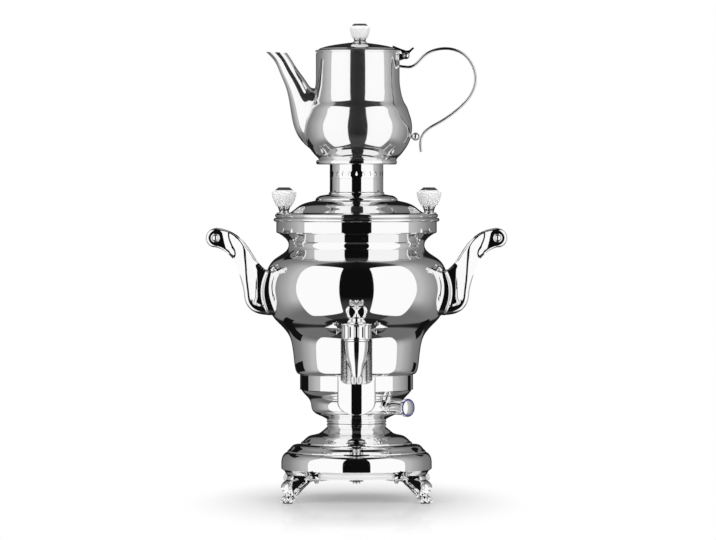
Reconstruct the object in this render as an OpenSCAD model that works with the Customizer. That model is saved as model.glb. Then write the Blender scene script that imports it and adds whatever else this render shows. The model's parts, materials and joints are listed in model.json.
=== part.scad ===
// Electric samovar for the table, with a teapot that stands on its chimney collar.
// Millimetres. +Z is up, the tap points towards -Y, and the origin is on the axis at floor level.

/* [Foot] */
// Radius of the base's widest band
base_r = 82.1; // [80:0.1:86]
// Height of the base's lower edge above the floor
base_z = 25.1; // [24.8:0.1:26]
// Radius of the pedestal's neck
pedestal_r = 31.6; // [30:0.1:33]
// Height where the base cover ends and the pedestal ring begins
pedestal_z = 79.5; // [79:0.1:81]
// Distance from the axis to the middle of a leg's scroll
scroll_reach = 107.5; // [105:0.5:110]
// Radius of a leg's scroll
scroll_r = 6.5; // [6:0.1:7]
// Width of a leg
leg_w = 11; // [10:0.5:12]

/* [Water vessel] */
// Height of the vessel's floor
vessel_z = 136; // [135.5:0.1:136.5]
// Radius of the vessel's foot
waist_r = 64.5; // [63.5:0.1:66]
// Largest radius of the belly
belly_r = 100.8; // [100:0.1:102]
// Height of the belly's widest line
belly_z = 229.5; // [229:0.1:230]
// Radius of the neck above the belly
neck_r = 74.1; // [73:0.1:75]
// Height of the neck's narrowest line
neck_z = 277; // [276.5:0.1:277.5]
// Radius of the upright band under the rim
band_r = 87.5; // [87:0.1:88]
// Height of the top of the band
band_z = 302.3; // [302:0.1:303]
// Thickness of the sheet metal
sheet = 1.2; // [1:0.1:1.4]

/* [Lower housing] */
// Radius of the housing under the vessel
housing_r = 61.7; // [61:0.1:62.5]
// Distance from the axis to the face of the control knob
knob_reach = 79; // [77:0.5:82]
// Height of the control knob
knob_z = 102; // [101:0.5:103]
// Direction of the control knob, from +X towards +Y
knob_turn = -45; // [-50:1:-40]

/* [Tap] */
// Distance of the tap's upright axis in front of the samovar's
tap_reach = 112; // [111:0.5:114]
// Height of the water way through the tap
tap_z = 186; // [185.5:0.1:186.5]
// Radius of the fluted barrel
barrel_r = 15.9; // [15.5:0.1:16.5]
// Radius of the turning plug
plug_r = 7.97; // [7.95:0.01:7.98]
// Height of the tap's outlet
outlet_z = 130.3; // [129:0.1:132]

/* [Side handles] */
// Distance from the axis to the middle of the grip bar
grip_reach = 153; // [152:0.5:154]
// Height of the grip bar
grip_z = 285; // [284:0.5:286]
// Radius of the grip bar
grip_r = 8; // [7:0.1:9]
// Distance of each arm's middle from the handle's middle
arm_y = 26; // [25:0.5:28]
// Thickness of an arm
arm_t = 9; // [8:0.5:10]

/* [Lid and chimney] */
// Radius of the lid's edge bead
lid_r = 88.9; // [88.5:0.1:89.5]
// Height of the lid's flat flange
lid_z = 311.2; // [311:0.1:311.5]
// Height where the chimney collar stands on the lid
collar_z = 332.3; // [332:0.1:333]
// Outer radius of the collar
collar_r = 29.2; // [28.8:0.1:30]
// Height of the pot stand's upper face
stand_z = 369.5; // [369:0.1:370.5]
// Outer radius of the pot stand
stand_r = 44.1; // [43.7:0.1:45]
// Distance from the axis to each crystal knob on the lid
knob_x = 79; // [78:0.1:80]

/* [Teapot] */
// Offset of the teapot's axis to the right
pot_x = 1.3; // [0:0.1:2]
// Largest radius of the teapot
pot_r = 59.3; // [58.5:0.1:60]
// Radius of the teapot's upright neck
pot_neck_r = 45.6; // [45:0.1:46.5]
// Height of the teapot's rim
pot_rim_z = 486; // [485:0.1:487]
// Thickness of the teapot's sheet metal
pot_sheet = 1; // [0.8:0.1:1.2]
// Width of the strap handle
strap_w = 10; // [9:0.5:12]
// Thickness of the strap handle
strap_t = 2.9; // [2.5:0.1:3.2]

/* [Hidden] */
$fn = 96;

// Gap left round a shaft or bolt that only passes through
clearance = 0.3;
// Gap left round a shaft that turns in a bearing
running_fit = 0.03;

// Legs
leg_turns = [45, 135, 225, 315];
pad_h = 1.2;
pad_r = 5;
paw_reach = scroll_reach - 3;
toe_r = 3.5;
leg_screw_r = 1.5;
leg_screw_at = [70, 9];

// Pedestal
rod_r = 4;
rod_hole_r = rod_r + clearance;
nut_r = 7.5;
nut_h = 6.3;
housing_z = pedestal_z + 6.5;
plate_h = 2.5;

// Inlet at the back of the lower housing
inlet_z = 108;
inlet_out_y = 64;
inlet_floor_y = 49;
pin_x = 7;

// Tap
barrel_low_z = tap_z - 8;
barrel_high_z = tap_z + 8;
plug_low_z = barrel_low_z + 2;
waterway_r = 4;
seat_y = 90.5;
seat_r = 9;
neck_end_y = 54;
tap_neck_r = 6;
leaf_t = 3;

// Vessel: the heights of the two soldered seams, under and over the belly
seam_low_z = belly_z - 31.5;
seam_high_z = belly_z + 32.5;

// Control knob
spindle_r = 3;
boss_out = 56;
barrel_out = boss_out + 0.5;

// Side handles: the mounting plate's outer face is an arc, furthest out midway between the bolts
plate_reach = belly_r + 6.4;
plate_mid_z = belly_z - 3;
plate_low_z = belly_z - 28.5;
plate_high_z = belly_z + 21;
plate_half_w = 34;
plate_corner_r = 7;
plate_bend = 95;
bolt_r = 2.5;
bolt_head_r = 5;
bolt_zs = [plate_mid_z - 13, plate_mid_z + 13];
stud_r = 3;

// Lid
rim_z = band_z + 4.3;
skirt_r = band_r - sheet - 0.9;

// Teapot
knuckle = [52.7, pot_rim_z - 3.1];
knuckle_r = 3.8;
pin_r = 1;
pot_knob_x = 2.3;
pot_top_z = pot_rim_z + 11.3;

// ---- Curves ---------------------------------------------------------------------------------

// A point between knots b and c of a smooth curve, where a and d are the knots on either side
function between(a, b, c, d, t) =
    0.5 * (2 * b + (c - a) * t + (2 * a - 5 * b + 4 * c - d) * t * t + (3 * b - a - 3 * c + d) * t * t * t);

// A smooth curve through all the knots, with steps points from each knot to the next
function smooth(knots, steps) = let (last = len(knots) - 1) [
    for (i = [0 : last - 1], s = [0 : steps - 1])
        between(knots[max(i - 1, 0)], knots[i], knots[i + 1], knots[min(i + 2, last)], s / steps),
    knots[last]];

// Points of an arc from angle a to angle b
function arc(centre, r, a, b, steps) =
    [for (s = [0 : steps]) centre + r * [cos(a + (b - a) * s / steps), sin(a + (b - a) * s / steps)]];

// The right-hand normal of an outline at its point i, which points away from the axis on a rising one
function side(path, i) =
    let (run = path[min(i + 1, len(path) - 1)] - path[max(i - 1, 0)]) [run[1], -run[0]] / norm(run);

// The outline moved to its right-hand side by d
function shifted(path, d) = [for (i = [0 : len(path) - 1]) path[i] + d * side(path, i)];

// The same for a turned outline, whose two ends stay at their own heights
function grown(path, d) = let (last = len(path) - 1) concat(
    [[path[0][0] + d / side(path, 0)[0], path[0][1]]],
    [for (i = [1 : last - 1]) path[i] + d * side(path, i)],
    [[path[last][0] + d / side(path, last)[0], path[last][1]]]);

// The part of a rising outline between two heights
function stretch(path, low, high) = let (radii = [for (p = path) [p[1], p[0]]]) concat(
    [[lookup(low, radii), low]],
    [for (p = path) if (p[1] > low && p[1] < high) p],
    [[lookup(high, radii), high]]);

function reversed(path) = [for (i = [len(path) - 1 : -1 : 0]) path[i]];

// A closed outline of a sheet of thickness t that lies on the inner side of a rising outline
function sheet_of(path, t) = concat(path, reversed(shifted(path, -t)));

function mirrored(path) = [for (p = reversed(path)) [-p[0], p[1]]];

// ---- Outlines: [radius, height] -------------------------------------------------------------

base_outline = concat(
    [[base_r - 6.3, base_z], [base_r - 4.2, base_z + 4.3], [base_r - 0.9, base_z + 6.5],
     [base_r, base_z + 8.7], [base_r, base_z + 15.2]],
    smooth([[base_r - 0.9, base_z + 17.4], [base_r - 2, base_z + 21.9], [base_r - 4.6, base_z + 26.2],
        [base_r - 9.6, base_z + 30.5], [base_r - 13.4, base_z + 35.1]], 3),
    [[base_r - 21.6, base_z + 37]],
    smooth([[base_r - 24.9, base_z + 39.2], [base_r - 27.1, base_z + 42.4], [base_r - 34.1, base_z + 45.8],
        [pedestal_r + 7.6, pedestal_z - 6.5], [pedestal_r + 2.9, pedestal_z - 3],
        [pedestal_r, pedestal_z]], 3));

housing_outline = concat(
    smooth([[pedestal_r + 1.1, housing_z], [pedestal_r + 2.9, housing_z + 2.6],
        [pedestal_r + 9.4, housing_z + 5.6], [housing_r - 15.4, housing_z + 8.8],
        [housing_r - 13.2, housing_z + 12.5], [housing_r - 12.4, housing_z + 17.6],
        [housing_r - 10.5, housing_z + 22.5], [housing_r - 5.7, housing_z + 27.3],
        [housing_r - 1.2, housing_z + 31.5], [housing_r, housing_z + 34.3]], 3),
    [[housing_r, vessel_z]]);

vessel_outline = concat(
    smooth([[waist_r, vessel_z], [waist_r + 3.3, vessel_z + 9], [waist_r + 6, vessel_z + 34],
        [belly_r - 26.1, belly_z - 49.5], [belly_r - 19, belly_z - 40.9], [belly_r - 10.8, belly_z - 33.4],
        [belly_r - 2.8, belly_z - 17.5], [belly_r, belly_z], [belly_r - 2.8, belly_z + 18.5],
        [belly_r - 9.8, belly_z + 31], [neck_r + 5.9, neck_z - 8.7], [neck_r, neck_z],
        [neck_r + 4.4, neck_z + 7.5], [band_r - 2, neck_z + 11.9], [band_r, neck_z + 13.5]], 4),
    [[band_r, band_z]]);

lid_outline = concat(
    smooth([[lid_r - 18.1, lid_z], [lid_r - 23, lid_z + 6], [lid_r - 29.5, lid_z + 10.4],
        [lid_r - 43.1, lid_z + 14.7]], 4),
    [[lid_r - 44.4, lid_z + 15.1]],
    smooth([[lid_r - 44.8, lid_z + 16.6], [lid_r - 48, lid_z + 19.1], [lid_r - 54, lid_z + 20.4],
        [collar_r + 1.8, collar_z]], 3),
    [[collar_r - 2.2, collar_z]]);

pot_outline = concat(
    smooth([[pot_r - 16.3, stand_z + 2], [pot_r - 12.9, stand_z + 5.1], [pot_r - 9.9, stand_z + 8.7],
        [pot_r - 3.4, stand_z + 19.6],
        [pot_r, stand_z + 34.5], [pot_r - 1.2, stand_z + 45.8], [pot_r - 5.3, stand_z + 55.1],
        [pot_neck_r + 4.4, stand_z + 63], [pot_neck_r + 1.6, stand_z + 72],
        [pot_neck_r, stand_z + 81]], 4),
    [[pot_neck_r, pot_rim_z]]);

// Outline of a crystal knob of radius r that stands h high on the axis
function crystal(r, h) = [[0, 0], [0.4 * r, 0], [0.67 * r, 0.2 * h], [0.92 * r, 0.48 * h], [r, 0.68 * h],
    [0.95 * r, 0.85 * h], [0.76 * r, 0.97 * h], [0, h]];

// Outer face of a side handle's mounting plate
function plate_r(z) = plate_reach - (z - plate_mid_z) ^ 2 / plate_bend;
plate_outline = [for (i = [0 : 10])
    let (z = plate_low_z + (plate_high_z - plate_low_z) * i / 10) [plate_r(z), z]];

// Side handle's arm, seen from the front: upper edge outwards, round the boss, lower edge inwards
arm_outline = concat(
    smooth([[95, belly_z + 17.5], [100.2, belly_z + 20.5], [107.4, belly_z + 27.7], [113, belly_z + 36.1],
        [118.5, belly_z + 44.7], [124.5, belly_z + 52.1], [131.6, belly_z + 58.3], [140.3, belly_z + 62.9],
        [grip_reach - 5.6, grip_z + 9.6]], 4),
    arc([grip_reach, grip_z], 10.4, 105, -75, 12),
    smooth([[grip_reach - 1.6, grip_z - 10.4], [145.6, belly_z + 42.7], [138.2, belly_z + 37.3],
        [132, belly_z + 29], [128.3, belly_z + 19.5], [125, belly_z + 8.5], [122.4, belly_z - 2.5],
        [121.2, belly_z - 11.8], [117.6, belly_z - 19.2], [111.5, belly_z - 24.6],
        [103, belly_z - 27.5], [92, belly_z - 28.3]], 4));

// Teapot handle's middle line, from the upper end on the body to the free lower tip
strap_path = smooth([[44, 472], [59, 471.4], [67.8, 478.3], [76.6, 486.1], [95.2, 490.8], [114.7, 485],
    [126, 469.8], [128, 454], [122.4, 439.3], [108.2, 424], [89.7, 411], [75, 402], [68.6, 392],
    [69, 378.2]], 5);

// Teapot spout: outer edge, inner edge and half depth of each cross-section, from root to mouth
spout_outer = [[-46, 377], [-60, 389], [-69, 404.4], [-73.8, 428], [-78.1, 448], [-84.2, 463],
    [-90.3, 476.5], [-99.9, 487.2]];
spout_inner = [[-36, 446], [-40, 448], [-49.8, 448], [-55.3, 454], [-61.3, 462.5], [-67.3, 471],
    [-72.7, 479.6], [-77.1, 486]];
spout_depth = [20, 19, 16, 12.5, 10, 8.6, 8, 8];

// ---- Shared solids --------------------------------------------------------------------------

// Everything inside an outline, grown by d
module filled(path, d = 0) {
    edge = grown(path, d);
    rotate_extrude()
        polygon(concat([[0, edge[0][1]]], edge, [[0, edge[len(edge) - 1][1]]]));
}

// A flat outline seen from the front, as a block from y = near to y = far
module front_block(near, far) {
    translate([0, far, 0])
        rotate([90, 0, 0])
            linear_extrude(far - near)
                children();
}

// A flat outline seen from the right, as a block from x = near to x = far
module side_block(near, far) {
    translate([near, 0, 0])
        rotate([90, 0, 90])
            linear_extrude(far - near)
                children();
}

// A rod along +Y between two distances
module rod_y(r, near, far) {
    translate([0, near, 0])
        rotate([-90, 0, 0])
            cylinder(r = r, h = far - near);
}

// A rod along +X between two distances
module rod_x(r, near, far) {
    translate([near, 0, 0])
        rotate([0, 90, 0])
            cylinder(r = r, h = far - near);
}

// A closed skin over rings of points, all with the same number of points
module skin(rings) {
    n = len(rings[0]);
    last = len(rings) - 1;
    walls = [for (i = [0 : last - 1], j = [0 : n - 1])
        [i * n + j, (i + 1) * n + j, (i + 1) * n + (j + 1) % n, i * n + (j + 1) % n]];
    ends = [[for (j = [0 : n - 1]) j], [for (j = [n - 1 : -1 : 0]) last * n + j]];
    polyhedron([for (ring = rings) each ring], concat(walls, ends));
}

// Places its children at the two sides of the samovar
module both_sides() {
    for (flip = [0, 1])
        mirror([flip, 0, 0])
            children();
}

// ---- Foot -----------------------------------------------------------------------------------

leg_top = [[60, base_z], [78, base_z], [88, base_z - 0.9], [96, base_z - 0.1], [102, base_z + 1.5]];
leg_arch = smooth([[98, 5], [95.3, 10.5], [86, 17.2], [76, 20.6], [60, base_z - 2.5]], 3);

module leg(turn) {
    color("silver")
        rotate([0, 0, turn])
            difference() {
                union() {
                    front_block(-leg_w / 2, leg_w / 2) {
                        polygon(concat(leg_top, [[scroll_reach, base_z], [scroll_reach, 14.5],
                            [scroll_reach - 5.5, 12], [scroll_reach - 4, 5]], leg_arch));
                        translate([scroll_reach, base_z - 3.8])
                            circle(scroll_r);
                    }
                    translate([scroll_reach, 0, base_z - 3.8])
                        rod_y(scroll_r / 2, -leg_w / 2 - 1, leg_w / 2 + 1);
                    translate([leg_screw_at[0] - 4, -leg_screw_at[1] - 3.5, base_z - 1.5])
                        cube([8, 2 * leg_screw_at[1] + 7, 1.5]);
                    paw();
                }
                for (s = [-1, 1])
                    translate([leg_screw_at[0], s * leg_screw_at[1], 0])
                        cylinder(r = leg_screw_r + 0.1, h = base_z + 1);
            }
}

module paw() {
    intersection() {
        union() {
            for (s = [-1, 0, 1])
                translate([paw_reach + 1, s * 4.5, toe_r + 1])
                    rotate([0, 0, s * 8])
                        rotate([0, 90, 0])
                            rotate_extrude()
                                polygon(concat([[0, -5]], [[toe_r, -5]], arc([0, 4], toe_r, 0, 90, 8)));
            translate([paw_reach - 3, 0, 5.5])
                sphere(6.2);
        }
        translate([paw_reach, 0, pad_h + 20])
            cube([50, 50, 40], center = true);
    }
}

module foot_pads() {
    color("dimgray")
        for (turn = leg_turns)
            rotate([0, 0, turn])
                translate([paw_reach, 0, 0])
                    cylinder(r = pad_r, h = pad_h);
}

module leg_screws() {
    color("gray")
        for (turn = leg_turns, s = [-1, 1])
            rotate([0, 0, turn])
                translate([leg_screw_at[0], s * leg_screw_at[1], base_z])
                    rotate([180, 0, 0])
                        rotate_extrude()
                            polygon([[0, -plate_h - 1], [leg_screw_r, -plate_h - 1], [leg_screw_r, 1.5],
                                [2.4, 1.5], [2.4, 3.6], [1.5, 4.8], [0, 5]]);
}

module base_plate() {
    color("darkgray")
        difference() {
            intersection() {
                filled(base_outline, -sheet - 0.05);
                translate([0, 0, base_z])
                    cylinder(r = base_r, h = plate_h);
            }
            cylinder(r = rod_hole_r, h = base_z + 10);
            for (turn = leg_turns, s = [-1, 1])
                rotate([0, 0, turn])
                    translate([leg_screw_at[0], s * leg_screw_at[1], 0])
                        cylinder(r = leg_screw_r + 0.1, h = base_z + 10);
        }
}

module base_cover() {
    inner = grown(base_outline, -sheet);
    color("silver")
        rotate_extrude()
            polygon(concat(base_outline, [[rod_hole_r, pedestal_z], [rod_hole_r, pedestal_z - sheet]],
                [for (p = reversed(inner)) if (p[1] < pedestal_z - sheet) p]));
}

module tie_rod() {
    color("gray")
        translate([0, 0, base_z - nut_h - 2])
            cylinder(r = rod_r, h = housing_z + sheet + 2 * nut_h + 4 - base_z);
}

module tie_nut(z) {
    translate([0, 0, z])
        difference() {
            cylinder(r = nut_r, h = nut_h, $fn = 6);
            translate([0, 0, -1])
                cylinder(r = rod_r + 0.01, h = nut_h + 2);
        }
}

module tie_nuts() {
    color("gray") {
        tie_nut(base_z - nut_h);
        tie_nut(housing_z + sheet);
    }
}

module pedestal_ring() {
    color("silver")
        rotate_extrude()
            polygon(concat([[rod_hole_r, pedestal_z], [pedestal_r, pedestal_z]],
                arc([pedestal_r - 0.4, pedestal_z + 1.7], 1.4, -70, 70, 6),
                [[pedestal_r - 0.8, pedestal_z + 3.4]],
                arc([pedestal_r - 0.2, pedestal_z + 4.9], 1.4, -80, 80, 6),
                [[pedestal_r + 0.4, housing_z], [rod_hole_r, housing_z]]));
}

// ---- Lower housing and what it holds --------------------------------------------------------

module at_knob() {
    translate([0, 0, knob_z])
        rotate([0, 0, knob_turn])
            children();
}

module lower_housing() {
    inner = grown(housing_outline, -sheet);
    color("silver")
        difference() {
            rotate_extrude()
                polygon(concat([[rod_hole_r, housing_z]], housing_outline,
                    [for (p = reversed(inner)) if (p[1] > housing_z + sheet) p],
                    [[pedestal_r - 1, housing_z + sheet], [rod_hole_r, housing_z + sheet]]));
            at_knob()
                rod_x(spindle_r + 1, 30, 60);
            translate([-14.2, 30, inlet_z - 11.2])
                cube([28.4, 40, 22.4]);
        }
}

module heater_plate() {
    color("silver")
        translate([0, 0, vessel_z - 5])
            cylinder(r = 50, h = 5);
}

module heater_tube() {
    tube_r = 4;
    color("gray")
        rotate([0, 0, 120]) {
            rotate_extrude(angle = 300)
                translate([38, vessel_z - 8.5])
                    intersection() {
                        circle(tube_r);
                        translate([-tube_r, -tube_r])
                            square([2 * tube_r, tube_r + 3.5]);
                    }
            for (a = [4, 296])
                rotate([0, 0, a])
                    translate([38, 0, vessel_z - 20])
                        cylinder(r = 2, h = 10);
        }
}

module thermostat() {
    color("white")
        at_knob()
            difference() {
                union() {
                    rod_x(9, 22, 36);
                    rod_x(5, 36, 44);
                }
                rod_x(spindle_r + running_fit, 34, 50);
            }
}

module thermal_cutout() {
    color("black")
        translate([0, 0, vessel_z - 12])
            cylinder(r = 9, h = 7);
}

// One insulated lead along a path of points
module lead(path) {
    line = smooth(path, 3);
    sides = 8;
    skin([for (i = [0 : len(line) - 1])
        let (run = line[min(i + 1, len(line) - 1)] - line[max(i - 1, 0)],
             across = cross(run, [0.6, 0.8, 0]) / norm(cross(run, [0.6, 0.8, 0])),
             up = cross(across, run) / norm(run))
        [for (j = [0 : sides - 1]) line[i] + cos(360 * j / sides) * across + sin(360 * j / sides) * up]]);
}

module internal_leads() {
    color("firebrick") {
        lead([[-7, 35.8, 106], [-9, 30, 108], [-11, 19, 111], [-8, 8, 114], [-6, 4, 118], [-6, 3, 123.9]]);
        lead([[7, 35.8, 106], [9, 28, 107], [11, 14, 106], [8, 2, 104], [9, -7, 102.5], [15.3, -15.3, 102]]);
        lead([[13.5, -17.4, 105], [7, -11, 108], [-4, -2, 108], [-15, 13, 108], [-20.8, 26, 108.5],
            [-21.2, 31.5, 112.5], [-21.2, 31.5, 114.5], [-21.2, 31.5, 115.95]]);
        lead([[6, 3, 123.9], [6, 4, 120], [10, 11, 116], [17, 22, 111], [20.8, 29, 110.5],
            [21.2, 31.5, 112.8], [21.2, 31.5, 114.5], [21.2, 31.5, 115.95]]);
    }
}

module appliance_inlet() {
    color("black")
        difference() {
            union() {
                difference() {
                    translate([-17, 30, inlet_z - 14])
                        cube([34, inlet_out_y - 30, 28]);
                    filled(housing_outline);
                }
                translate([-14, 36, inlet_z - 11])
                    cube([28, 20, 22]);
            }
            translate([-12, inlet_floor_y, inlet_z - 8.5])
                cube([24, 20, 17]);
        }
}

module inlet_pins() {
    color("gold")
        for (at = [[-pin_x, inlet_z - 3], [0, inlet_z + 1], [pin_x, inlet_z - 3]])
            translate([at[0] - 2, inlet_floor_y, at[1]])
                cube([4, 11, 2]);
}

module knob_boss() {
    color("dimgray")
        difference() {
            at_knob()
                difference() {
                    union() {
                        rod_x(8.5, 40, 52);
                        rod_x(7.2, 51, boss_out);
                    }
                    rod_x(spindle_r + clearance, 30, 60);
                }
            filled(housing_outline);
        }
}

module knob_spindle() {
    color("gray")
        at_knob()
            rod_x(spindle_r, 36, knob_reach - 8);
}

module control_knob() {
    color("silver")
        at_knob()
            rotate([0, 90, 0])
                difference() {
                    rotate_extrude()
                        polygon([[0, barrel_out], [7.4, barrel_out], [8, barrel_out + 0.8], [8, knob_reach - 5],
                            [9.6, knob_reach - 4], [10, knob_reach - 3.2], [10, knob_reach - 0.6],
                            [9.5, knob_reach], [6.8, knob_reach], [6.2, knob_reach + 0.9],
                            [0, knob_reach + 1.3]]);
                    translate([0, 0, barrel_out - 1])
                        cylinder(r = spindle_r, h = knob_reach - 8 - barrel_out + 1);
                }
}

module knob_ring() {
    color("mediumblue")
        at_knob()
            rotate([0, 90, 0])
                rotate_extrude()
                    polygon([[7, knob_reach], [9.3, knob_reach], [9, knob_reach + 0.6],
                        [7.3, knob_reach + 0.6]]);
}

// ---- Water vessel ---------------------------------------------------------------------------

module handle_bolt_places() {
    both_sides()
        for (z = bolt_zs)
            translate([0, 0, z])
                children();
}

// Bottom cup with the flat floor
module water_vessel() {
    floor_z = vessel_z + sheet;
    color("silver")
        difference() {
            rotate_extrude()
                polygon(concat([[0, vessel_z]], stretch(vessel_outline, vessel_z, seam_low_z),
                    reversed(stretch(grown(vessel_outline, -sheet), floor_z, seam_low_z)), [[0, floor_z]]));
            translate([0, 0, tap_z])
                rotate([0, 0, 180])
                    rod_y(tap_neck_r + 0.1, 60, 95);
        }
}

module vessel_shell(low, high) {
    rotate_extrude()
        polygon(concat(stretch(vessel_outline, low, high),
            reversed(stretch(grown(vessel_outline, -sheet), low, high))));
}

module vessel_belly() {
    color("silver")
        difference() {
            vessel_shell(seam_low_z, seam_high_z);
            handle_bolt_places()
                rod_x(bolt_r + 0.1, 85, 110);
        }
}

module vessel_neck() {
    color("silver")
        vessel_shell(seam_high_z, band_z);
}

module rim_ring() {
    color("silver")
        rotate_extrude()
            polygon(concat([[band_r - sheet, band_z], [band_r, band_z]],
                arc([band_r + 0.85, band_z + 2.15], 2.15, -90, 90, 10), [[band_r - sheet, rim_z]]));
}

// ---- Tap ------------------------------------------------------------------------------------

// Half of the leaf outline, from the top of the middle to its bottom
leaf_half = [[0, 8.6], [15, 6.5], [19, 6.8], [23, 9.4], [25, 5.9], [29, 4.6], [33.5, 2.8], [28, 0.9],
    [24, -1.2], [19.5, -4], [17, -1.8], [14.5, -7.6], [0, -9.6]];

module tap_escutcheon() {
    color("silver")
        difference() {
            union() {
                intersection() {
                    front_block(-110, -55)
                        translate([0, tap_z])
                            polygon(concat(leaf_half, mirrored(leaf_half)));
                    filled(vessel_outline, leaf_t);
                }
                translate([0, 0, tap_z])
                    rotate([0, 0, 180])
                        rod_y(11, 60, seat_y);
            }
            filled(vessel_outline);
            translate([0, 0, tap_z])
                rotate([0, 0, 180]) {
                    rod_y(tap_neck_r + 0.1, 50, 100);
                    rod_y(seat_r + clearance, seat_y, 110);
                }
        }
}

module tap_body() {
    flutes = 18;
    color("silver")
        difference() {
            union() {
                translate([0, -tap_reach, barrel_low_z])
                    difference() {
                        cylinder(r = barrel_r, h = barrel_high_z - barrel_low_z);
                        for (i = [0 : flutes - 1])
                            rotate([0, 0, 90 + 360 * i / flutes])
                                translate([barrel_r + 1.3, 0, 1.2])
                                    cylinder(r = 2.1, h = barrel_high_z - barrel_low_z - 2.4);
                    }
                translate([0, 0, tap_z])
                    rotate([0, 0, 180]) {
                        rod_y(tap_neck_r, neck_end_y, seat_y + 1);
                        rod_y(seat_r, seat_y, seat_y + 3);
                        rod_y(7.5, seat_y + 2, tap_reach);
                    }
            }
            translate([0, -tap_reach, plug_low_z])
                cylinder(r = plug_r + running_fit, h = 20);
            translate([0, -tap_reach, barrel_low_z - 1])
                cylinder(r = waterway_r + 1, h = 10);
            translate([0, 0, tap_z])
                rotate([0, 0, 180])
                    rod_y(waterway_r, 40, tap_reach);
        }
}

// Tongue outline of the hood, seen from the front
hood_half_w = barrel_r + 0.9;
hood_outline = concat([[-hood_half_w, barrel_low_z], [-hood_half_w, outlet_z + 7]],
    arc([-hood_half_w + 7, outlet_z + 7], 7, 180, 270, 8),
    arc([hood_half_w - 7, outlet_z + 7], 7, 270, 360, 8), [[hood_half_w, barrel_low_z]]);

module tap_hood() {
    color("silver")
        intersection() {
            translate([0, -tap_reach, outlet_z])
                difference() {
                    cylinder(r = hood_half_w, h = barrel_low_z - outlet_z);
                    translate([0, 0, -1])
                        cylinder(r = hood_half_w - 1.6, h = barrel_low_z);
                    translate([-30, -60, -1])
                        cube([60, 58, barrel_low_z]);
                }
            front_block(-tap_reach - 30, -tap_reach + 30)
                polygon(hood_outline);
        }
}

module tap_nozzle() {
    color("silver")
        translate([0, -tap_reach, 0])
            rotate_extrude()
                polygon([[6, barrel_low_z], [13.6, barrel_low_z], [13.6, barrel_low_z - 2.2],
                    [6.6, outlet_z + 9.3], [8.8, outlet_z + 8.6], [9.8, outlet_z + 7.4],
                    [9.8, outlet_z + 1.4], [8.8, outlet_z], [5, outlet_z], [5, outlet_z + 12],
                    [6, barrel_low_z - 12]]);
}

module tap_gasket() {
    color("dimgray")
        difference() {
            intersection() {
                translate([0, 0, tap_z])
                    rotate([0, 0, 180])
                        rod_y(11, neck_end_y + 8, 95);
                filled(vessel_outline, -sheet - 0.05);
            }
            translate([0, 0, tap_z])
                rotate([0, 0, 180])
                    rod_y(tap_neck_r + 0.1, 40, 100);
        }
}

module tap_nut() {
    color("goldenrod")
        translate([0, 0, tap_z])
            rotate([0, 0, 180])
                difference() {
                    translate([0, neck_end_y + 2, 0])
                        rotate([-90, 0, 0])
                            cylinder(r = 11, h = 6, $fn = 6);
                    rod_y(tap_neck_r + 0.01, 40, 70);
                }
}

module tap_plug() {
    color("goldenrod")
        translate([0, -tap_reach, 0])
            difference() {
                union() {
                    translate([0, 0, plug_low_z])
                        cylinder(r = plug_r, h = barrel_high_z - plug_low_z + 0.5);
                    translate([0, 0, barrel_high_z + clearance])
                        cylinder(r = 9.5, h = 1.5);
                }
                translate([0, 0, plug_low_z - 1])
                    cylinder(r = waterway_r, h = tap_z - plug_low_z + 1);
                translate([0, 0, tap_z])
                    rod_x(waterway_r - 0.5, 0, 12);
            }
}

module tap_key() {
    key_z = barrel_high_z + clearance + 1.5;
    color("silver")
        translate([0, -tap_reach, 0]) {
            translate([0, 0, key_z])
                cylinder(r1 = 5.6, r2 = 3.2, h = 7);
            front_block(-2, 2) {
                for (s = [-1, 1])
                    translate([s * 5.3, key_z + 13.2])
                        circle(4.9);
                polygon([[-3, key_z + 1], [3, key_z + 1], [9.8, key_z + 11], [5, key_z + 17.2],
                    [0, key_z + 15.6], [-5, key_z + 17.2], [-9.8, key_z + 11]]);
            }
        }
}

// ---- Side handles ---------------------------------------------------------------------------

// The right-hand mounting plate, hollowed to the belly, with a seat for each bolt head
module handle_plate() {
    inset = plate_half_w - plate_corner_r;
    color("silver")
        difference() {
            intersection() {
                filled(plate_outline);
                side_block(60, 120)
                    polygon(concat(
                        arc([inset, plate_low_z + plate_corner_r], plate_corner_r, -90, 0, 5),
                        arc([inset, plate_high_z - plate_corner_r], plate_corner_r, 0, 90, 5),
                        arc([-inset, plate_high_z - plate_corner_r], plate_corner_r, 90, 180, 5),
                        arc([-inset, plate_low_z + plate_corner_r], plate_corner_r, 180, 270, 5)));
            }
            filled(vessel_outline);
            for (z = bolt_zs)
                translate([0, 0, z]) {
                    rod_x(bolt_r + 0.1, 60, 120);
                    rod_x(bolt_head_r + 0.1, plate_r(z), 120);
                }
        }
}

// The right-hand pair of arms
module handle_arms() {
    color("silver")
        for (s = [-1, 1])
            difference() {
                front_block(s * arm_y - arm_t / 2, s * arm_y + arm_t / 2)
                    polygon(arm_outline);
                filled(plate_outline);
                filled(vessel_outline, clearance);
                translate([grip_reach, 0, grip_z])
                    rod_y(stud_r + 0.05, -50, 50);
            }
}

// The right-hand grip bar with its two studs
module handle_grip() {
    bar_end = arm_y - arm_t / 2;
    color("silver")
        translate([grip_reach, 0, grip_z]) {
            rod_y(grip_r, -bar_end, bar_end);
            rod_y(stud_r, -arm_y - arm_t / 2 - 2.5, arm_y + arm_t / 2 + 2.5);
        }
}

module handle_cap_nuts() {
    face = arm_y + arm_t / 2;
    color("silver")
        both_sides()
            for (s = [-1, 1])
                translate([grip_reach, 0, grip_z])
                    rotate([-90 * s, 0, 0])
                        rotate_extrude()
                            polygon(concat([[stud_r + 0.01, face], [4.5, face], [4.5, face + 2.2]],
                                arc([0, face + 1.2], 4.6, 12.6, 90, 6),
                                [[0, face + 2.6], [stud_r + 0.01, face + 2.6]]));
}

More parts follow.
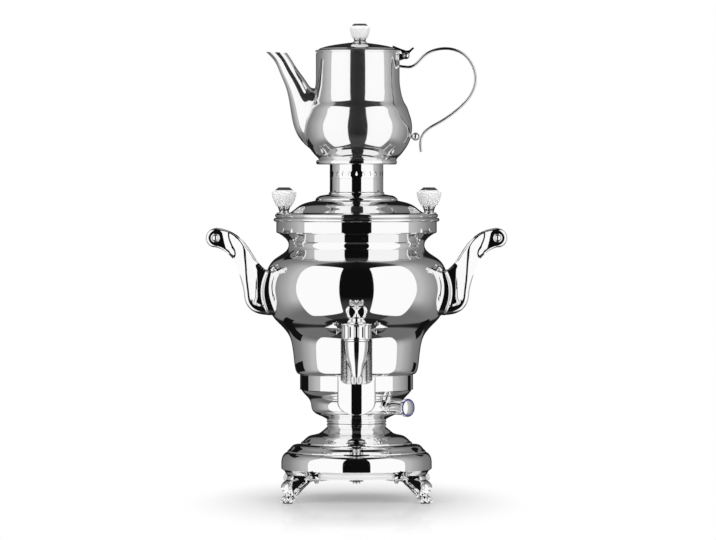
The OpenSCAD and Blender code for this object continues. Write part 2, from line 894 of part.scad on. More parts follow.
module handle_bolts() {
    seat = plate_r(bolt_zs[0]);
    color("gray")
        handle_bolt_places()
            rotate([0, 90, 0])
                rotate_extrude()
                    polygon([[0, belly_r - 11], [bolt_r, belly_r - 11], [bolt_r, seat], [bolt_head_r, seat],
                        [bolt_head_r - 0.6, seat + 1.4], [0, seat + 2.2]]);
}

// Nuts inside the vessel, each with a round saddle that follows the curve of the wall
module handle_nuts() {
    color("gray")
        intersection() {
            filled(vessel_outline, -sheet - 0.05);
            handle_bolt_places()
                difference() {
                    union() {
                        translate([belly_r - 10.5, 0, 0])
                            rotate([0, 90, 0])
                                cylinder(r = 4.6, h = 4, $fn = 6);
                        rod_x(4.2, belly_r - 8, belly_r);
                    }
                    rod_x(bolt_r + 0.01, 80, 110);
                }
        }
}

// ---- Lid and chimney collar -----------------------------------------------------------------

module lid_dome() {
    bead_r = (lid_z - rim_z) / 2;
    color("silver")
        rotate_extrude()
            polygon(concat([[skirt_r - sheet, rim_z - 7.6], [skirt_r, rim_z - 7.6], [skirt_r, rim_z]],
                arc([lid_r - bead_r, lid_z - bead_r], bead_r, -90, 90, 10), lid_outline,
                reversed(shifted(lid_outline, -sheet)), [[skirt_r - sheet, lid_z - sheet]]));
}

module lid_collar() {
    holes = 24;
    color("silver")
        difference() {
            translate([0, 0, collar_z])
                rotate_extrude()
                    polygon([[collar_r - 1, 0], [collar_r + 1, 0], [collar_r + 1, 1.5], [collar_r, 2.4],
                        [collar_r, stand_z - 5 - collar_z], [collar_r - 1, stand_z - 5 - collar_z]]);
            for (i = [0 : holes - 1])
                rotate([0, 0, 360 * i / holes])
                    translate([0, -20, stand_z - 16])
                        rotate([90, 0, 0])
                            linear_extrude(15) {
                                circle(1.5);
                                polygon([[-1.35, 0.65], [1.35, 0.65], [0, 4.2]]);
                            }
        }
}

module pot_stand() {
    color("silver") {
        translate([0, 0, stand_z - 5])
            rotate_extrude()
                polygon([[20, 0], [stand_r - 1, 0], [stand_r, 1], [stand_r, 4.2], [stand_r - 0.8, 5],
                    [36, 5], [34.5, 1.5], [20, 1.5]]);
        translate([33, -3, stand_z - 9.5])
            cube([4.5, 6, 5]);
    }
}

module knob_mount(r, h) {
    prongs = 6;
    rotate_extrude()
        polygon([[0, 0], [r * 1.15, 0], [r * 1.15, 0.9], [r * 0.8, 1.7], [r * 0.62, 2.6], [r * 0.9, h - 1.5],
            [r * 0.9, h - 0.4], [0, h - 0.4]]);
    for (i = [0 : prongs - 1])
        rotate([0, 0, 360 * (i + 0.5) / prongs])
            translate([r * 0.78, -0.8, 2])
                cube([r * 0.3, 1.6, h + 1 - 2]);
}

module lid_knob_mounts() {
    color("silver")
        both_sides()
            translate([knob_x, 0, lid_z])
                difference() {
                    knob_mount(7, 8);
                    translate([0, 0, 7.6])
                        rotate_extrude()
                            polygon(crystal(13.6, 21));
                }
}

module lid_knobs() {
    color("white", 0.6)
        both_sides()
            translate([knob_x, 0, lid_z + 7.6])
                rotate_extrude()
                    polygon(crystal(13.6, 21));
}

// ---- Teapot ---------------------------------------------------------------------------------

module in_pot() {
    translate([pot_x, 0, 0])
        children();
}

module teapot_body() {
    inner = grown(pot_outline, -pot_sheet);
    floor_z = stand_z + 2;
    color("silver")
        in_pot()
            difference() {
                rotate_extrude()
                    polygon(concat([[0, floor_z], [36.5, floor_z], [37.5, stand_z], [42, stand_z]], pot_outline,
                        [for (p = reversed(inner)) if (p[1] > floor_z + 3) p],
                        [[39, floor_z + 1.5], [0, floor_z + 1.5]]));
                for (row = [0 : 4], col = [-1 : 1])
                    translate([0, 5 * col, stand_z + 32 + 5 * row])
                        mirror([1, 0, 0])
                            rod_x(1.4, 40, 70);
            }
}

// Rings of the spout, drawn in by d
function spout_rings(d) = let (steps = 3, outer = smooth(spout_outer, steps),
        inner = smooth(spout_inner, steps),
        depth = smooth([for (v = spout_depth) [v, 0]], steps), sides = 20)
    [for (i = [0 : len(outer) - 1])
        let (middle = (outer[i] + inner[i]) / 2, half = (inner[i] - outer[i]) / 2, k = 1 - d / norm(half))
        [for (j = [0 : sides - 1]) let (a = 360 * j / sides, p = middle + k * half * cos(a))
            [p[0], (depth[i][0] - d) * sin(a), p[1]]]];

module teapot_spout() {
    outer = spout_rings(0);
    inner = spout_rings(pot_sheet);
    last = len(inner) - 1;
    color("silver")
        in_pot()
            difference() {
                skin(outer);
                skin(concat([[for (p = inner[0]) p + [8, 0, -1]]], inner,
                    [[for (p = inner[last]) p + [0, 0, 4]]]));
                filled(pot_outline);
            }
}

module teapot_handle() {
    color("silver")
        in_pot()
            difference() {
                front_block(-strap_w / 2, strap_w / 2)
                    polygon(sheet_of(shifted(strap_path, strap_t / 2), strap_t));
                filled(pot_outline);
            }
}

module handle_spacer() {
    color("silver")
        in_pot()
            translate([0, 0, 395])
                rotate([0, 90, 0])
                    rotate_extrude()
                        polygon(concat([[0, 57.5], [2, 57.5], [2, 59]], arc([0, 63], 4.4, -63, 63, 10),
                            [[2, 67.2], [2, 69.2], [0, 69.2]]));
}

module hinge_bracket() {
    ear_in = 3;
    ear_out = 5;
    color("silver")
        in_pot()
            difference() {
                union() {
                    translate([pot_neck_r - 4, -ear_out, pot_rim_z - 8.3])
                        cube([6, 2 * ear_out, 8.1]);
                    for (near = [-ear_out, ear_in])
                        front_block(near, near + ear_out - ear_in) {
                            translate(knuckle)
                                circle(knuckle_r);
                            polygon([[pot_neck_r, pot_rim_z - 7.6], [knuckle[0] - 0.5, pot_rim_z - 6.8],
                                [knuckle[0] - 0.5, pot_rim_z - 0.4], [pot_neck_r, pot_rim_z - 0.4]]);
                        }
                }
                filled(pot_outline);
                translate([knuckle[0], 0, knuckle[1]])
                    rod_y(pin_r + running_fit, -10, 10);
            }
}

module hinge_pin() {
    color("gray")
        in_pot()
            translate([knuckle[0], 0, knuckle[1]]) {
                rod_y(pin_r, -5.3, 5.3);
                for (s = [-1, 1])
                    rotate([-90 * s, 0, 0])
                        translate([0, 0, 5.3])
                            cylinder(r1 = 1.9, r2 = 1.3, h = 0.8);
            }
}

lid_top = [[pot_neck_r + 0.2, pot_rim_z], [pot_neck_r + 0.6, pot_rim_z + 1.6], [pot_neck_r, pot_rim_z + 3.2],
    [43.4, pot_rim_z + 4.6], [34.1, pot_rim_z + 7.8], [18.9, pot_rim_z + 10.2], [10.4, pot_top_z]];

module teapot_lid() {
    skirt_out = pot_neck_r - pot_sheet - 0.6;
    color("silver")
        in_pot()
            rotate_extrude()
                polygon(concat([[skirt_out - 1, pot_rim_z - 7], [skirt_out, pot_rim_z - 7],
                    [skirt_out, pot_rim_z]],
                    lid_top, [[0, pot_top_z], [0, pot_top_z - 1], [10.2, pot_top_z - 1],
                    [18.7, pot_rim_z + 9.1], [33.8, pot_rim_z + 6.7], [skirt_out - 1, pot_rim_z + 3.6]]));
}

module thumb_lever() {
    color("silver")
        in_pot()
            difference() {
                front_block(-2.7, 2.7) {
                    translate(knuckle)
                        circle(knuckle_r);
                    polygon([[38, pot_rim_z + 8.4], [38, pot_rim_z + 3], [46.5, pot_rim_z + 1.6],
                        [knuckle[0] - 3.4, knuckle[1] + 1.5], [knuckle[0], knuckle[1]],
                        [knuckle[0] + 3, knuckle[1] + 2.2], [57.2, pot_rim_z + 1], [61.2, pot_rim_z + 4.8],
                        [60.2, pot_rim_z + 6.2], [56, pot_rim_z + 2.8], [knuckle[0], pot_rim_z + 2.4],
                        [46.8, pot_rim_z + 4.2]]);
                }
                rotate_extrude()
                    polygon(concat([[0, pot_rim_z - 5], [pot_neck_r + 0.2, pot_rim_z - 5]], lid_top,
                        [[0, pot_top_z]]));
                translate([knuckle[0], 0, knuckle[1]])
                    rod_y(pin_r, -10, 10);
            }
}

module pot_knob_mount() {
    color("silver")
        in_pot()
            translate([pot_knob_x, 0, pot_top_z])
                difference() {
                    knob_mount(6.2, 5);
                    translate([0, 0, 4.6])
                        rotate_extrude()
                            polygon(crystal(11.2, 16));
                }
}

module pot_knob() {
    color("white", 0.6)
        in_pot()
            translate([pot_knob_x, 0, pot_top_z + 4.6])
                rotate_extrude()
                    polygon(crystal(11.2, 16));
}

// ---- Nodes ----------------------------------------------------------------------------------

leg(225);  // leg_front_left
leg(315);  // leg_front_right
leg(135);  // leg_rear_left
leg(45);  // leg_rear_right
foot_pads();
leg_screws();
base_plate();
base_cover();
tie_rod();
tie_nuts();
pedestal_ring();
lower_housing();
water_vessel();
vessel_belly();
vessel_neck();
rim_ring();
heater_plate();
heater_tube();
thermostat();
thermal_cutout();
internal_leads();
appliance_inlet();
inlet_pins();
tap_escutcheon();
tap_body();
tap_hood();
tap_nozzle();
tap_gasket();
tap_nut();
knob_boss();
mirror([1, 0, 0]) handle_plate();  // handle_plate_left
handle_plate();  // handle_plate_right
mirror([1, 0, 0]) handle_arms();  // handle_arms_left
handle_arms();  // handle_arms_right
mirror([1, 0, 0]) handle_grip();  // handle_grip_left
handle_grip();  // handle_grip_right
handle_cap_nuts();
handle_bolts();
handle_nuts();
tap_plug();
tap_key();
control_knob();
knob_ring();
knob_spindle();
lid_dome();
lid_collar();
pot_stand();
lid_knob_mounts();
lid_knobs();
teapot_body();
teapot_spout();
teapot_handle();
handle_spacer();
hinge_bracket();
teapot_lid();
thumb_lever();
hinge_pin();
pot_knob_mount();
pot_knob();
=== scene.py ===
import json
import math

import bmesh
import bpy
import numpy as np
from mathutils import Matrix, Vector


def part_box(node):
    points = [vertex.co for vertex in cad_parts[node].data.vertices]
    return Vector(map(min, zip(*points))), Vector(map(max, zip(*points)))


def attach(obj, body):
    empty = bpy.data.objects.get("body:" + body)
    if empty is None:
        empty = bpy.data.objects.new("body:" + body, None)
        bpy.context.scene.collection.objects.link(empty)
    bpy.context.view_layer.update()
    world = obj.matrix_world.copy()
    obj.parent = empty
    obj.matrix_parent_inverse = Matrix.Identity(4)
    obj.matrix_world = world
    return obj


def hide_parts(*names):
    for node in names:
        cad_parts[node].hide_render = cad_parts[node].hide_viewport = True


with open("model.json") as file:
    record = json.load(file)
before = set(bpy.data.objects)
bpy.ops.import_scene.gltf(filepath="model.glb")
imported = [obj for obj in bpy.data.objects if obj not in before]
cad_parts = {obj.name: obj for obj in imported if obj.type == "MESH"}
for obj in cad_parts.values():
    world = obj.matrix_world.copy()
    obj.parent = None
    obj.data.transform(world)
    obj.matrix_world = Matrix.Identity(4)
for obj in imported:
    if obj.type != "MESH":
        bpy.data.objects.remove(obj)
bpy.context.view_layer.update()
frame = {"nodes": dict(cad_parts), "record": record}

mm = 0.001

# ---- Camera ----------------------------------------------------------------------------------
# A long lens about five metres away, level with the vessel's rim and tipped down a little.
# There is no cord: the samovar's mains lead unplugs from the inlet at the back.

camera_distance = 4.905
camera_height = 0.348
picture_width = 0.7804
picture_centre = Vector((0.0016, 0, 0.2496))

camera_data = bpy.data.cameras.new("camera")
camera_data.lens = camera_data.sensor_width * camera_distance / picture_width
camera = bpy.data.objects.new("camera", camera_data)
camera.location = (picture_centre.x, -camera_distance, camera_height)
camera.rotation_mode = "QUATERNION"
camera.rotation_quaternion = (picture_centre - camera.location).to_track_quat("-Z", "Y")
bpy.context.scene.collection.objects.link(camera)
bpy.context.scene.camera = camera
bpy.context.scene.view_settings.view_transform = "Standard"


# ---- Studio ----------------------------------------------------------------------------------
# A white room with a pale table. Two tall soft boxes stand left and right of the camera, with a dark
# gap between them, and the polished metal shows the rest of the room: grey walls and black flags, and
# close by, dark sheets that give painted dark reflections.

def node(tree, kind, settings=None, inputs=None):
    """Adds a shader or geometry node; inputs are values, or sockets to link."""
    made = tree.nodes.new(kind)
    for key, value in (settings or {}).items():
        setattr(made, key, value)
    for key, value in (inputs or {}).items():
        if isinstance(value, bpy.types.NodeSocket):
            tree.links.new(value, made.inputs[key])
        else:
            made.inputs[key].default_value = value
    return made


def calc(tree, operation, *values):
    return node(tree, "ShaderNodeMath", {"operation": operation}, dict(enumerate(values))).outputs[0]


def ease(tree, value, low, high, start=0.0, end=1.0):
    """start where value is below low, end above high, and a smooth step between."""
    inputs = {"Value": value, "From Min": low, "From Max": high, "To Min": start, "To Max": end}
    return node(tree, "ShaderNodeMapRange", {"interpolation_type": "SMOOTHSTEP"}, inputs).outputs[0]


def either(tree, factor, a, b):
    mixed = node(tree, "ShaderNodeMix", {"data_type": "RGBA"})
    for place, value in ((0, factor), (6, a), (7, b)):
        if isinstance(value, bpy.types.NodeSocket):
            tree.links.new(value, mixed.inputs[place])
        else:
            mixed.inputs[place].default_value = value
    return mixed.outputs[2]


def layered(tree, share, under, over):
    return node(tree, "ShaderNodeMixShader", inputs={0: share, 1: under.outputs[0], 2: over.outputs[0]})


def noise(tree, scale, detail=2.0):
    """Clouds that stay with the piece, as a value from 0 to 1."""
    where = node(tree, "ShaderNodeTexCoord").outputs["Object"]
    return node(tree, "ShaderNodeTexNoise", inputs={"Vector": where, "Scale": scale,
        "Detail": detail}).outputs[0]


def grey(level):
    return (level, level, level, 1)


def ramp(tree, value, stops):
    """A colour ramp over value, with stops of (place, grey level)."""
    made = node(tree, "ShaderNodeValToRGB", inputs={0: value})
    bands = made.color_ramp.elements
    while len(bands) < len(stops):
        bands.new(0.5)
    for band, (place, level) in zip(bands, stops):
        band.position = place
        band.color = grey(level)
    return made.outputs[0]


world = bpy.data.worlds.new("studio_room")
bpy.context.scene.world = world
world.use_nodes = True
room = world.node_tree
room.nodes.clear()
direction = node(room, "ShaderNodeTexCoord").outputs["Generated"]
axes = node(room, "ShaderNodeSeparateXYZ", inputs={0: direction}).outputs
turn = calc(room, "ARCTAN2", calc(room, "ABSOLUTE", axes[0]), calc(room, "MULTIPLY", axes[1], -1))
turn_share = calc(room, "DIVIDE", turn, math.pi)


def round_room(levels):
    """Grey levels round the room, from the camera's side (0 degrees) to behind the object (180)."""
    return ramp(room, turn_share, [(degrees / 180, level) for degrees, level in levels])


walls = round_room([(0, 0.004), (76, 0.004), (79, 0.55), (90, 0.52), (100, 0.42), (113, 0.33), (125, 0.24),
    (140, 0.20), (158, 0.17), (163, 0.012), (180, 0.012)])
below = round_room([(0, 0.045), (60, 0.045), (64, 0.155), (90, 0.16), (180, 0.17)])
above = round_room([(0, 0.006), (40, 0.010), (50, 0.02), (62, 0.04), (72, 0.04), (80, 0.10), (87, 0.30),
    (110, 0.30), (125, 0.24), (150, 0.20), (168, 0.20), (172, 0.012), (180, 0.012)])
levels = either(room, ease(room, axes[2], -0.64, -0.30, 1.0, 0.0), walls, below)
levels = either(room, ease(room, axes[2], 0.62, 0.9), levels, above)
# A dark carpet behind the table: its near edge runs slantwise up the room
carpet = calc(room, "ADD", calc(room, "SUBTRACT", calc(room, "ARCSINE", axes[2]),
    calc(room, "MULTIPLY", turn, 1.2)), 3.62)
dark = calc(room, "MULTIPLY", ease(room, carpet, -0.06, 0.06, 1.0, 0.0),
    ease(room, axes[2], -0.12, -0.05, 1.0, 0.0))
under_table = ease(room, axes[2], -0.93, -0.91, 1.0, 0.0)
levels = either(room, calc(room, "MAXIMUM", dark, under_table), levels, grey(0.012))
behind = ease(room, axes[1], 0.994, 0.997)
reflected = either(room, behind, levels, grey(1.0))
ray = node(room, "ShaderNodeLightPath").outputs
for_metal = either(room, ray["Is Glossy Ray"], grey(0.42), reflected)
white_seen = calc(room, "MAXIMUM", ray["Is Camera Ray"], ray["Is Transmission Ray"])
room_colour = either(room, white_seen, for_metal, grey(1.0))
backdrop = node(room, "ShaderNodeBackground", inputs={"Color": room_colour, "Strength": 1.0})
node(room, "ShaderNodeOutputWorld", inputs={"Surface": backdrop.outputs[0]})


def new_material(name):
    made = bpy.data.materials.new(name)
    made.use_nodes = True
    made.node_tree.nodes.clear()
    return made, made.node_tree


def finish_material(tree, shader):
    node(tree, "ShaderNodeOutputMaterial", inputs={"Surface": shader.outputs[0]})


def new_object(name, mesh, material=None):
    made = bpy.data.objects.new(name, mesh)
    bpy.context.scene.collection.objects.link(made)
    if material:
        mesh.materials.append(material)
    return made


def for_metal_only(thing):
    """Nothing but the polished metal shows this thing of the studio."""
    for seen_by in ("camera", "diffuse", "transmission", "shadow"):
        setattr(thing, "visible_" + seen_by, False)


# The soft boxes as the metal sees them: upright panels with rounded corners and a soft edge
box_distance = 0.80
box_turn = 48.5
box_half_width = 0.435
box_low, box_high = -1.02, 1.04
box_material, tree = new_material("soft_box_cloth")
place = node(tree, "ShaderNodeSeparateXYZ", inputs={0: node(tree,
    "ShaderNodeTexCoord").outputs["UV"]}).outputs
corner = 0.10
half_height = (box_high - box_low) / 2
across = calc(tree, "SUBTRACT", calc(tree, "ABSOLUTE", place[0]), box_half_width - corner)
up = calc(tree, "SUBTRACT", calc(tree, "ABSOLUTE", place[1]), half_height - corner)
out = calc(tree, "SQRT", calc(tree, "ADD", calc(tree, "POWER", calc(tree, "MAXIMUM", across, 0), 2),
    calc(tree, "POWER", calc(tree, "MAXIMUM", up, 0), 2)))
lit = ease(tree, out, corner - 0.012, corner, 1.0, 0.0)
glow = node(tree, "ShaderNodeEmission", inputs={"Color": grey(1.0), "Strength": 1.04})
clear = node(tree, "ShaderNodeBsdfTransparent")
finish_material(tree, layered(tree, lit, clear, glow))
left_and_right = ((-1, "left"), (1, "right"))
for side, label in left_and_right:
    turn = math.radians(box_turn) * side
    facing = Vector((math.sin(turn), -math.cos(turn), 0))
    sideways = Vector((math.cos(turn), math.sin(turn), 0))
    middle = facing * box_distance + Vector((0, 0, 0.25 + (box_low + box_high) / 2))
    mesh = bpy.data.meshes.new("soft_box_" + label)
    ends = [(-1, -1), (1, -1), (1, 1), (-1, 1)]
    mesh.from_pydata([middle + sideways * box_half_width * a + Vector((0, 0, half_height * b))
        for a, b in ends], [], [(0, 1, 2, 3)])
    uv = mesh.uv_layers.new(name="panel")
    for loop, (a, b) in zip(uv.data, ends):
        loop.uv = (box_half_width * a, half_height * b)
    for_metal_only(new_object("soft_box_" + label, mesh, box_material))

# Dark sheets that only the metal sees, painted dark reflections: two small ones under the base, between the
# legs, standing in for the shade there, two beside the front legs, and narrow ones round the height of the
# lower housing and of the chimney collar, for dark streaks at the edges
painted_reflection_material, tree = new_material("painted_dark_reflection")
felt = ramp(tree, noise(tree, 200.0), [(0, 0.004), (1, 0.008)])
finish_material(tree, node(tree, "ShaderNodeEmission", inputs={"Color": felt}))


def dark_reflection_sheet(name, line, low, high):
    """An upright dark sheet that only the metal shows, as a painted dark reflection, along a line of [x, y]
    points, in metres.
    """
    mesh = bpy.data.meshes.new(name)
    count = len(line)
    mesh.from_pydata([(x, y, z) for z in (low, high) for x, y in line], [],
        [(i, i + 1, count + i + 1, count + i) for i in range(count - 1)])
    for_metal_only(new_object(name, mesh, painted_reflection_material))


def bent_line(radius, start, end, side):
    angles = [math.radians(a) for a in np.linspace(start, end, 9)]
    return [(side * radius * math.sin(a), -radius * math.cos(a)) for a in angles]


dark_reflection_sheet("dark_reflection_feet_front", [(0, -0.080), (0, -0.044)], 0.001, 0.022)
dark_reflection_sheet("dark_reflection_feet_back", [(0, 0.044), (0, 0.080)], 0.001, 0.022)
dark_reflection_sheet("dark_reflection_housing_left", bent_line(0.155, 96, 135, -1), 0.098, 0.136)
dark_reflection_sheet("dark_reflection_housing_right", bent_line(0.155, 108, 124, 1), 0.098, 0.136)
dark_reflection_sheet("dark_reflection_collar", bent_line(0.155, 118, 150, -1), 0.328, 0.368)
dark_reflection_sheet("dark_reflection_leg_left", [(-0.0587, -0.0714), (-0.0403, -0.0530)], 0.014, 0.033)
dark_reflection_sheet("dark_reflection_leg_right", [(0.0587, -0.0714), (0.0403, -0.0530)], 0.014, 0.033)

# Lamps that light everything that isn't metal; the metal doesn't show them
for label, place, size, watts in (("left", (-1.0, -1.1, 1.1), 1.0, 12),
        ("right", (1.0, -1.1, 1.1), 1.0, 12), ("top", (0, 0.1, 1.7), 1.3, 18)):
    light = bpy.data.lights.new("lamp_" + label, "AREA")
    light.size = size
    light.energy = watts
    lamp = bpy.data.objects.new("lamp_" + label, light)
    lamp.location = place
    lamp.rotation_mode = "QUATERNION"
    lamp.rotation_quaternion = (Vector((0, 0, 0.2)) - lamp.location).to_track_quat("-Z", "Y")
    lamp.visible_glossy = False
    bpy.context.scene.collection.objects.link(lamp)

# The table: white satin laminate with a broad painted shadow round the samovar, that fades into the room
table_radius = 3.0
table_material, tree = new_material("table_laminate")
where = node(tree, "ShaderNodeTexCoord").outputs["Object"]
away = node(tree, "ShaderNodeVectorMath", {"operation": "LENGTH"}, {0: where}).outputs["Value"]
drawn_in = node(tree, "ShaderNodeVectorMath", {"operation": "MULTIPLY_ADD"},
    {0: where, 1: (1.0, 0.46, 1.0), 2: (0.0, 0.028, 0.0)}).outputs[0]
spread = node(tree, "ShaderNodeVectorMath", {"operation": "LENGTH"}, {0: drawn_in}).outputs["Value"]
grain = ramp(tree, noise(tree, 900.0), [(0, 0.93), (1, 0.95)])
laminate = node(tree, "ShaderNodeBsdfDiffuse", inputs={"Color": grain})
# Painted shadow: the camera sees the laminate mostly as an emission, grey near the samovar and white further
# out
painted_soft_shadow = either(tree, ease(tree, spread, 0.028, 0.19), grey(0.38), grey(1.0))
shade = node(tree, "ShaderNodeEmission", inputs={"Color": painted_soft_shadow})
sheen = node(tree, "ShaderNodeBsdfGlossy", inputs={"Color": grey(0.95), "Roughness": 0.03})
ray = node(tree, "ShaderNodeLightPath").outputs
to_camera = ray["Is Camera Ray"]
painted_shadow_share = calc(tree, "MULTIPLY", ease(tree, spread, 0.10, 0.19, 0.72, 1.0), to_camera)
laminate_and_painted_shadow = layered(tree, painted_shadow_share, laminate, shade)
polish = calc(tree, "MULTIPLY", ease(tree, spread, 0.10, 0.24, 0.10, 0.0), to_camera)
seen = layered(tree, polish, laminate_and_painted_shadow, sheen)
# The metal shows the table only under the base and from close by; elsewhere it shows the room below
clear = node(tree, "ShaderNodeBsdfTransparent")
far = calc(tree, "MULTIPLY", ease(tree, away, 0.085, 0.095), ease(tree, ray["Ray Length"], 0.055, 0.075))
hidden = calc(tree, "MULTIPLY", far, ray["Is Glossy Ray"])
finish_material(tree, layered(tree, hidden, seen, clear))
mesh = bpy.data.meshes.new("table")
around = [math.radians(6 * i) for i in range(60)]
mesh.from_pydata([(table_radius * math.cos(a), table_radius * math.sin(a), 0) for a in around], [],
    [tuple(range(60))])
table = new_object("table", mesh, table_material)


# ---- Metal finishes --------------------------------------------------------------------------
# Every steel piece is buffed stainless steel: pressed, turned or cast, then polished to a mirror.
# A buffing wheel leaves a faint haze in patches and hair-fine lines, which the group makes.

def shader_group(name, numbers, outputs):
    made = bpy.data.node_groups.new(name, "ShaderNodeTree")
    for label, value in numbers:
        socket = made.interface.new_socket(label, in_out="INPUT", socket_type="NodeSocketFloat")
        socket.default_value = value
    for label in outputs:
        made.interface.new_socket(label, in_out="OUTPUT", socket_type="NodeSocketFloat")
    return made


buffing = shader_group("buffing_marks", [("Haze", 0.03), ("Patch Size", 30.0), ("Lines", 0.01)],
    ["Roughness", "Tone", "Height"])
given = node(buffing, "NodeGroupInput").outputs
where = node(buffing, "ShaderNodeTexCoord").outputs["Object"]
patches = noise(buffing, given["Patch Size"], 3.0)
stretched = node(buffing, "ShaderNodeVectorMath", {"operation": "MULTIPLY"}, {0: where, 1: (1.0, 1.0, 9.0)})
hairs = node(buffing, "ShaderNodeTexNoise", inputs={"Vector": stretched.outputs[0], "Scale": 420.0,
    "Detail": 2.0, "Roughness": 0.7})
patch = ease(buffing, patches, 0.35, 0.7)
hair = ease(buffing, hairs.outputs[0], 0.3, 0.75)
rough = calc(buffing, "MULTIPLY", given["Haze"], calc(buffing, "ADD", 0.75,
    calc(buffing, "MULTIPLY", calc(buffing, "ADD", patch, hair), 0.45)))
tone = calc(buffing, "SUBTRACT", 1.0, calc(buffing, "MULTIPLY", patch, 0.025))
height = calc(buffing, "MULTIPLY", hair, given["Lines"])
node(buffing, "NodeGroupOutput", inputs={"Roughness": rough, "Tone": tone, "Height": height})


def metal(name, colour, haze, patch_size=30.0, lines=0.01, veil=0.0):
    """A metal of that colour with the haze, the lines and the veil that its polishing or turning leaves."""
    made, tree = new_material(name)
    marks = node(tree, "ShaderNodeGroup", {"node_tree": buffing},
        {"Haze": haze, "Patch Size": patch_size, "Lines": lines}).outputs
    darker = tuple(0.8 * c for c in colour)
    shade = either(tree, marks["Tone"], (*darker, 1), (*colour, 1))
    bump = node(tree, "ShaderNodeBump", inputs={"Height": marks["Height"], "Distance": 0.00004,
        "Strength": 0.5})
    skin = node(tree, "ShaderNodeBsdfPrincipled", inputs={"Base Color": shade, "Metallic": 1.0,
        "Roughness": marks["Roughness"], "Normal": bump.outputs[0]})
    soft = node(tree, "ShaderNodeBsdfGlossy", inputs={"Color": shade, "Roughness": 0.42,
        "Normal": bump.outputs[0]})
    finish_material(tree, layered(tree, veil, skin, soft))
    return made


mirror_steel = metal("mirror_steel", (0.93, 0.93, 0.935), haze=0.028)
pot_steel = metal("pot_steel", (0.93, 0.93, 0.935), haze=0.05, veil=0.08)
cast_chrome = metal("cast_chrome", (0.93, 0.93, 0.935), haze=0.04, patch_size=70.0, lines=0.05)
rolled_steel = metal("rolled_steel", (0.62, 0.62, 0.63), haze=0.22, lines=0.4)
plated_steel = metal("plated_steel", (0.7, 0.7, 0.72), haze=0.14, lines=0.2)
turned_brass = metal("turned_brass", (0.86, 0.66, 0.33), haze=0.16, lines=0.3)


def belongs(piece, *stands_for, body="samovar", slot="polished_steel"):
    """The piece stands for those nodes and moves with that body; the slot is not used."""
    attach(piece, body)
    if stands_for:
        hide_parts(*stands_for)


# ---- Foot: base cover and pedestal -----------------------------------------------------------
# The stepped base cover is spun from 1.2 mm sheet over a former. Its upright band stands over the
# legs, and a long tie rod inside the pedestal pulls it against the lower housing.

def near(x, y, points):
    """Points given by how far they lie from (x, y), each with its corner radius if it has one."""
    return [(x + a, y + b, *radius) for a, b, *radius in points]


def flow(knots, steps):
    """A smooth curve of even curvature through [radius, height] knots (a natural cubic spline)."""
    knots = np.array(knots, float)
    t = np.concatenate([[0], np.cumsum(np.sqrt(np.linalg.norm(np.diff(knots, axis=0), axis=1)))])
    h = np.diff(t)
    n = len(knots)
    system = np.eye(n)
    right = np.zeros_like(knots)
    for i in range(1, n - 1):
        system[i, i - 1:i + 2] = h[i - 1], 2 * (h[i - 1] + h[i]), h[i]
        right[i] = 6 * ((knots[i + 1] - knots[i]) / h[i] - (knots[i] - knots[i - 1]) / h[i - 1])
    bend = np.linalg.solve(system, right)
    points = []
    for i in range(n - 1):
        for s in np.arange(steps) / steps * h[i]:
            left = h[i] - s
            points.append((bend[i] * left ** 3 + bend[i + 1] * s ** 3) / (6 * h[i])
                + (knots[i] / h[i] - bend[i] * h[i] / 6) * left
                + (knots[i + 1] / h[i] - bend[i + 1] * h[i] / 6) * s)
    return [tuple(p) for p in points] + [tuple(knots[-1])]


def arc(x, y, r, start, end, steps):
    """Points of an arc round (x, y), from one angle to another in degrees."""
    angles = np.radians(np.linspace(start, end, steps + 1))
    return [(x + r * math.cos(a), y + r * math.sin(a)) for a in angles]


def eased(corners, radius, steps=4):
    """An outline with each corner (x, y) or (x, y, radius) rounded off a little."""
    rounded = []
    for i, corner in enumerate(corners):
        here = np.array(corner[:2], float)
        size = corner[2] if len(corner) > 2 else radius
        back = np.array(corners[i - 1][:2], float) - here
        ahead = np.array(corners[(i + 1) % len(corners)][:2], float) - here
        reach = min(size, 0.45 * np.linalg.norm(back), 0.45 * np.linalg.norm(ahead))
        if reach < 1e-4:
            rounded.append(tuple(here))
            continue
        a = here + back / np.linalg.norm(back) * reach
        b = here + ahead / np.linalg.norm(ahead) * reach
        for t in np.linspace(0, 1, steps + 1):
            rounded.append(tuple((1 - t) ** 2 * a + 2 * t * (1 - t) * here + t * t * b))
    return rounded


def lining(outline, thickness):
    """The inner side of a sheet whose outer side rises along the outline, listed from the top down."""
    points = np.array(outline, float)
    run = np.gradient(points, axis=0)
    side = np.stack([run[:, 1], -run[:, 0]], axis=1)
    side /= np.linalg.norm(side, axis=1)[:, None]
    return [tuple(p) for p in (points - side * thickness)[::-1]]


def tipped(degrees, axis):
    return Matrix.Rotation(math.radians(degrees), 4, axis)


def from_bmesh(name, shape, material, corner=28, place=None):
    """Makes an object of a bmesh in millimetres, with outward faces and smooth shading."""
    if place is not None:
        bmesh.ops.transform(shape, matrix=place, verts=shape.verts)
    bmesh.ops.remove_doubles(shape, verts=shape.verts, dist=1e-4)
    bmesh.ops.recalc_face_normals(shape, faces=shape.faces)
    bmesh.ops.scale(shape, vec=(mm, mm, mm), verts=shape.verts)
    mesh = bpy.data.meshes.new(name)
    shape.to_mesh(mesh)
    shape.free()
    mesh.shade_smooth()
    mesh.set_sharp_from_angle(angle=math.radians(corner))
    return new_object(name, mesh, material)


def skinned(shape, rings, ends=True):
    """Joins each ring of points to the next one, and closes the two ends."""
    for low, high in zip(rings, rings[1:]):
        for i in range(len(low)):
            j = (i + 1) % len(low)
            shape.faces.new((low[i], low[j], high[j], high[i]))
    if ends:
        shape.faces.new(rings[0][::-1])
        shape.faces.new(rings[-1])


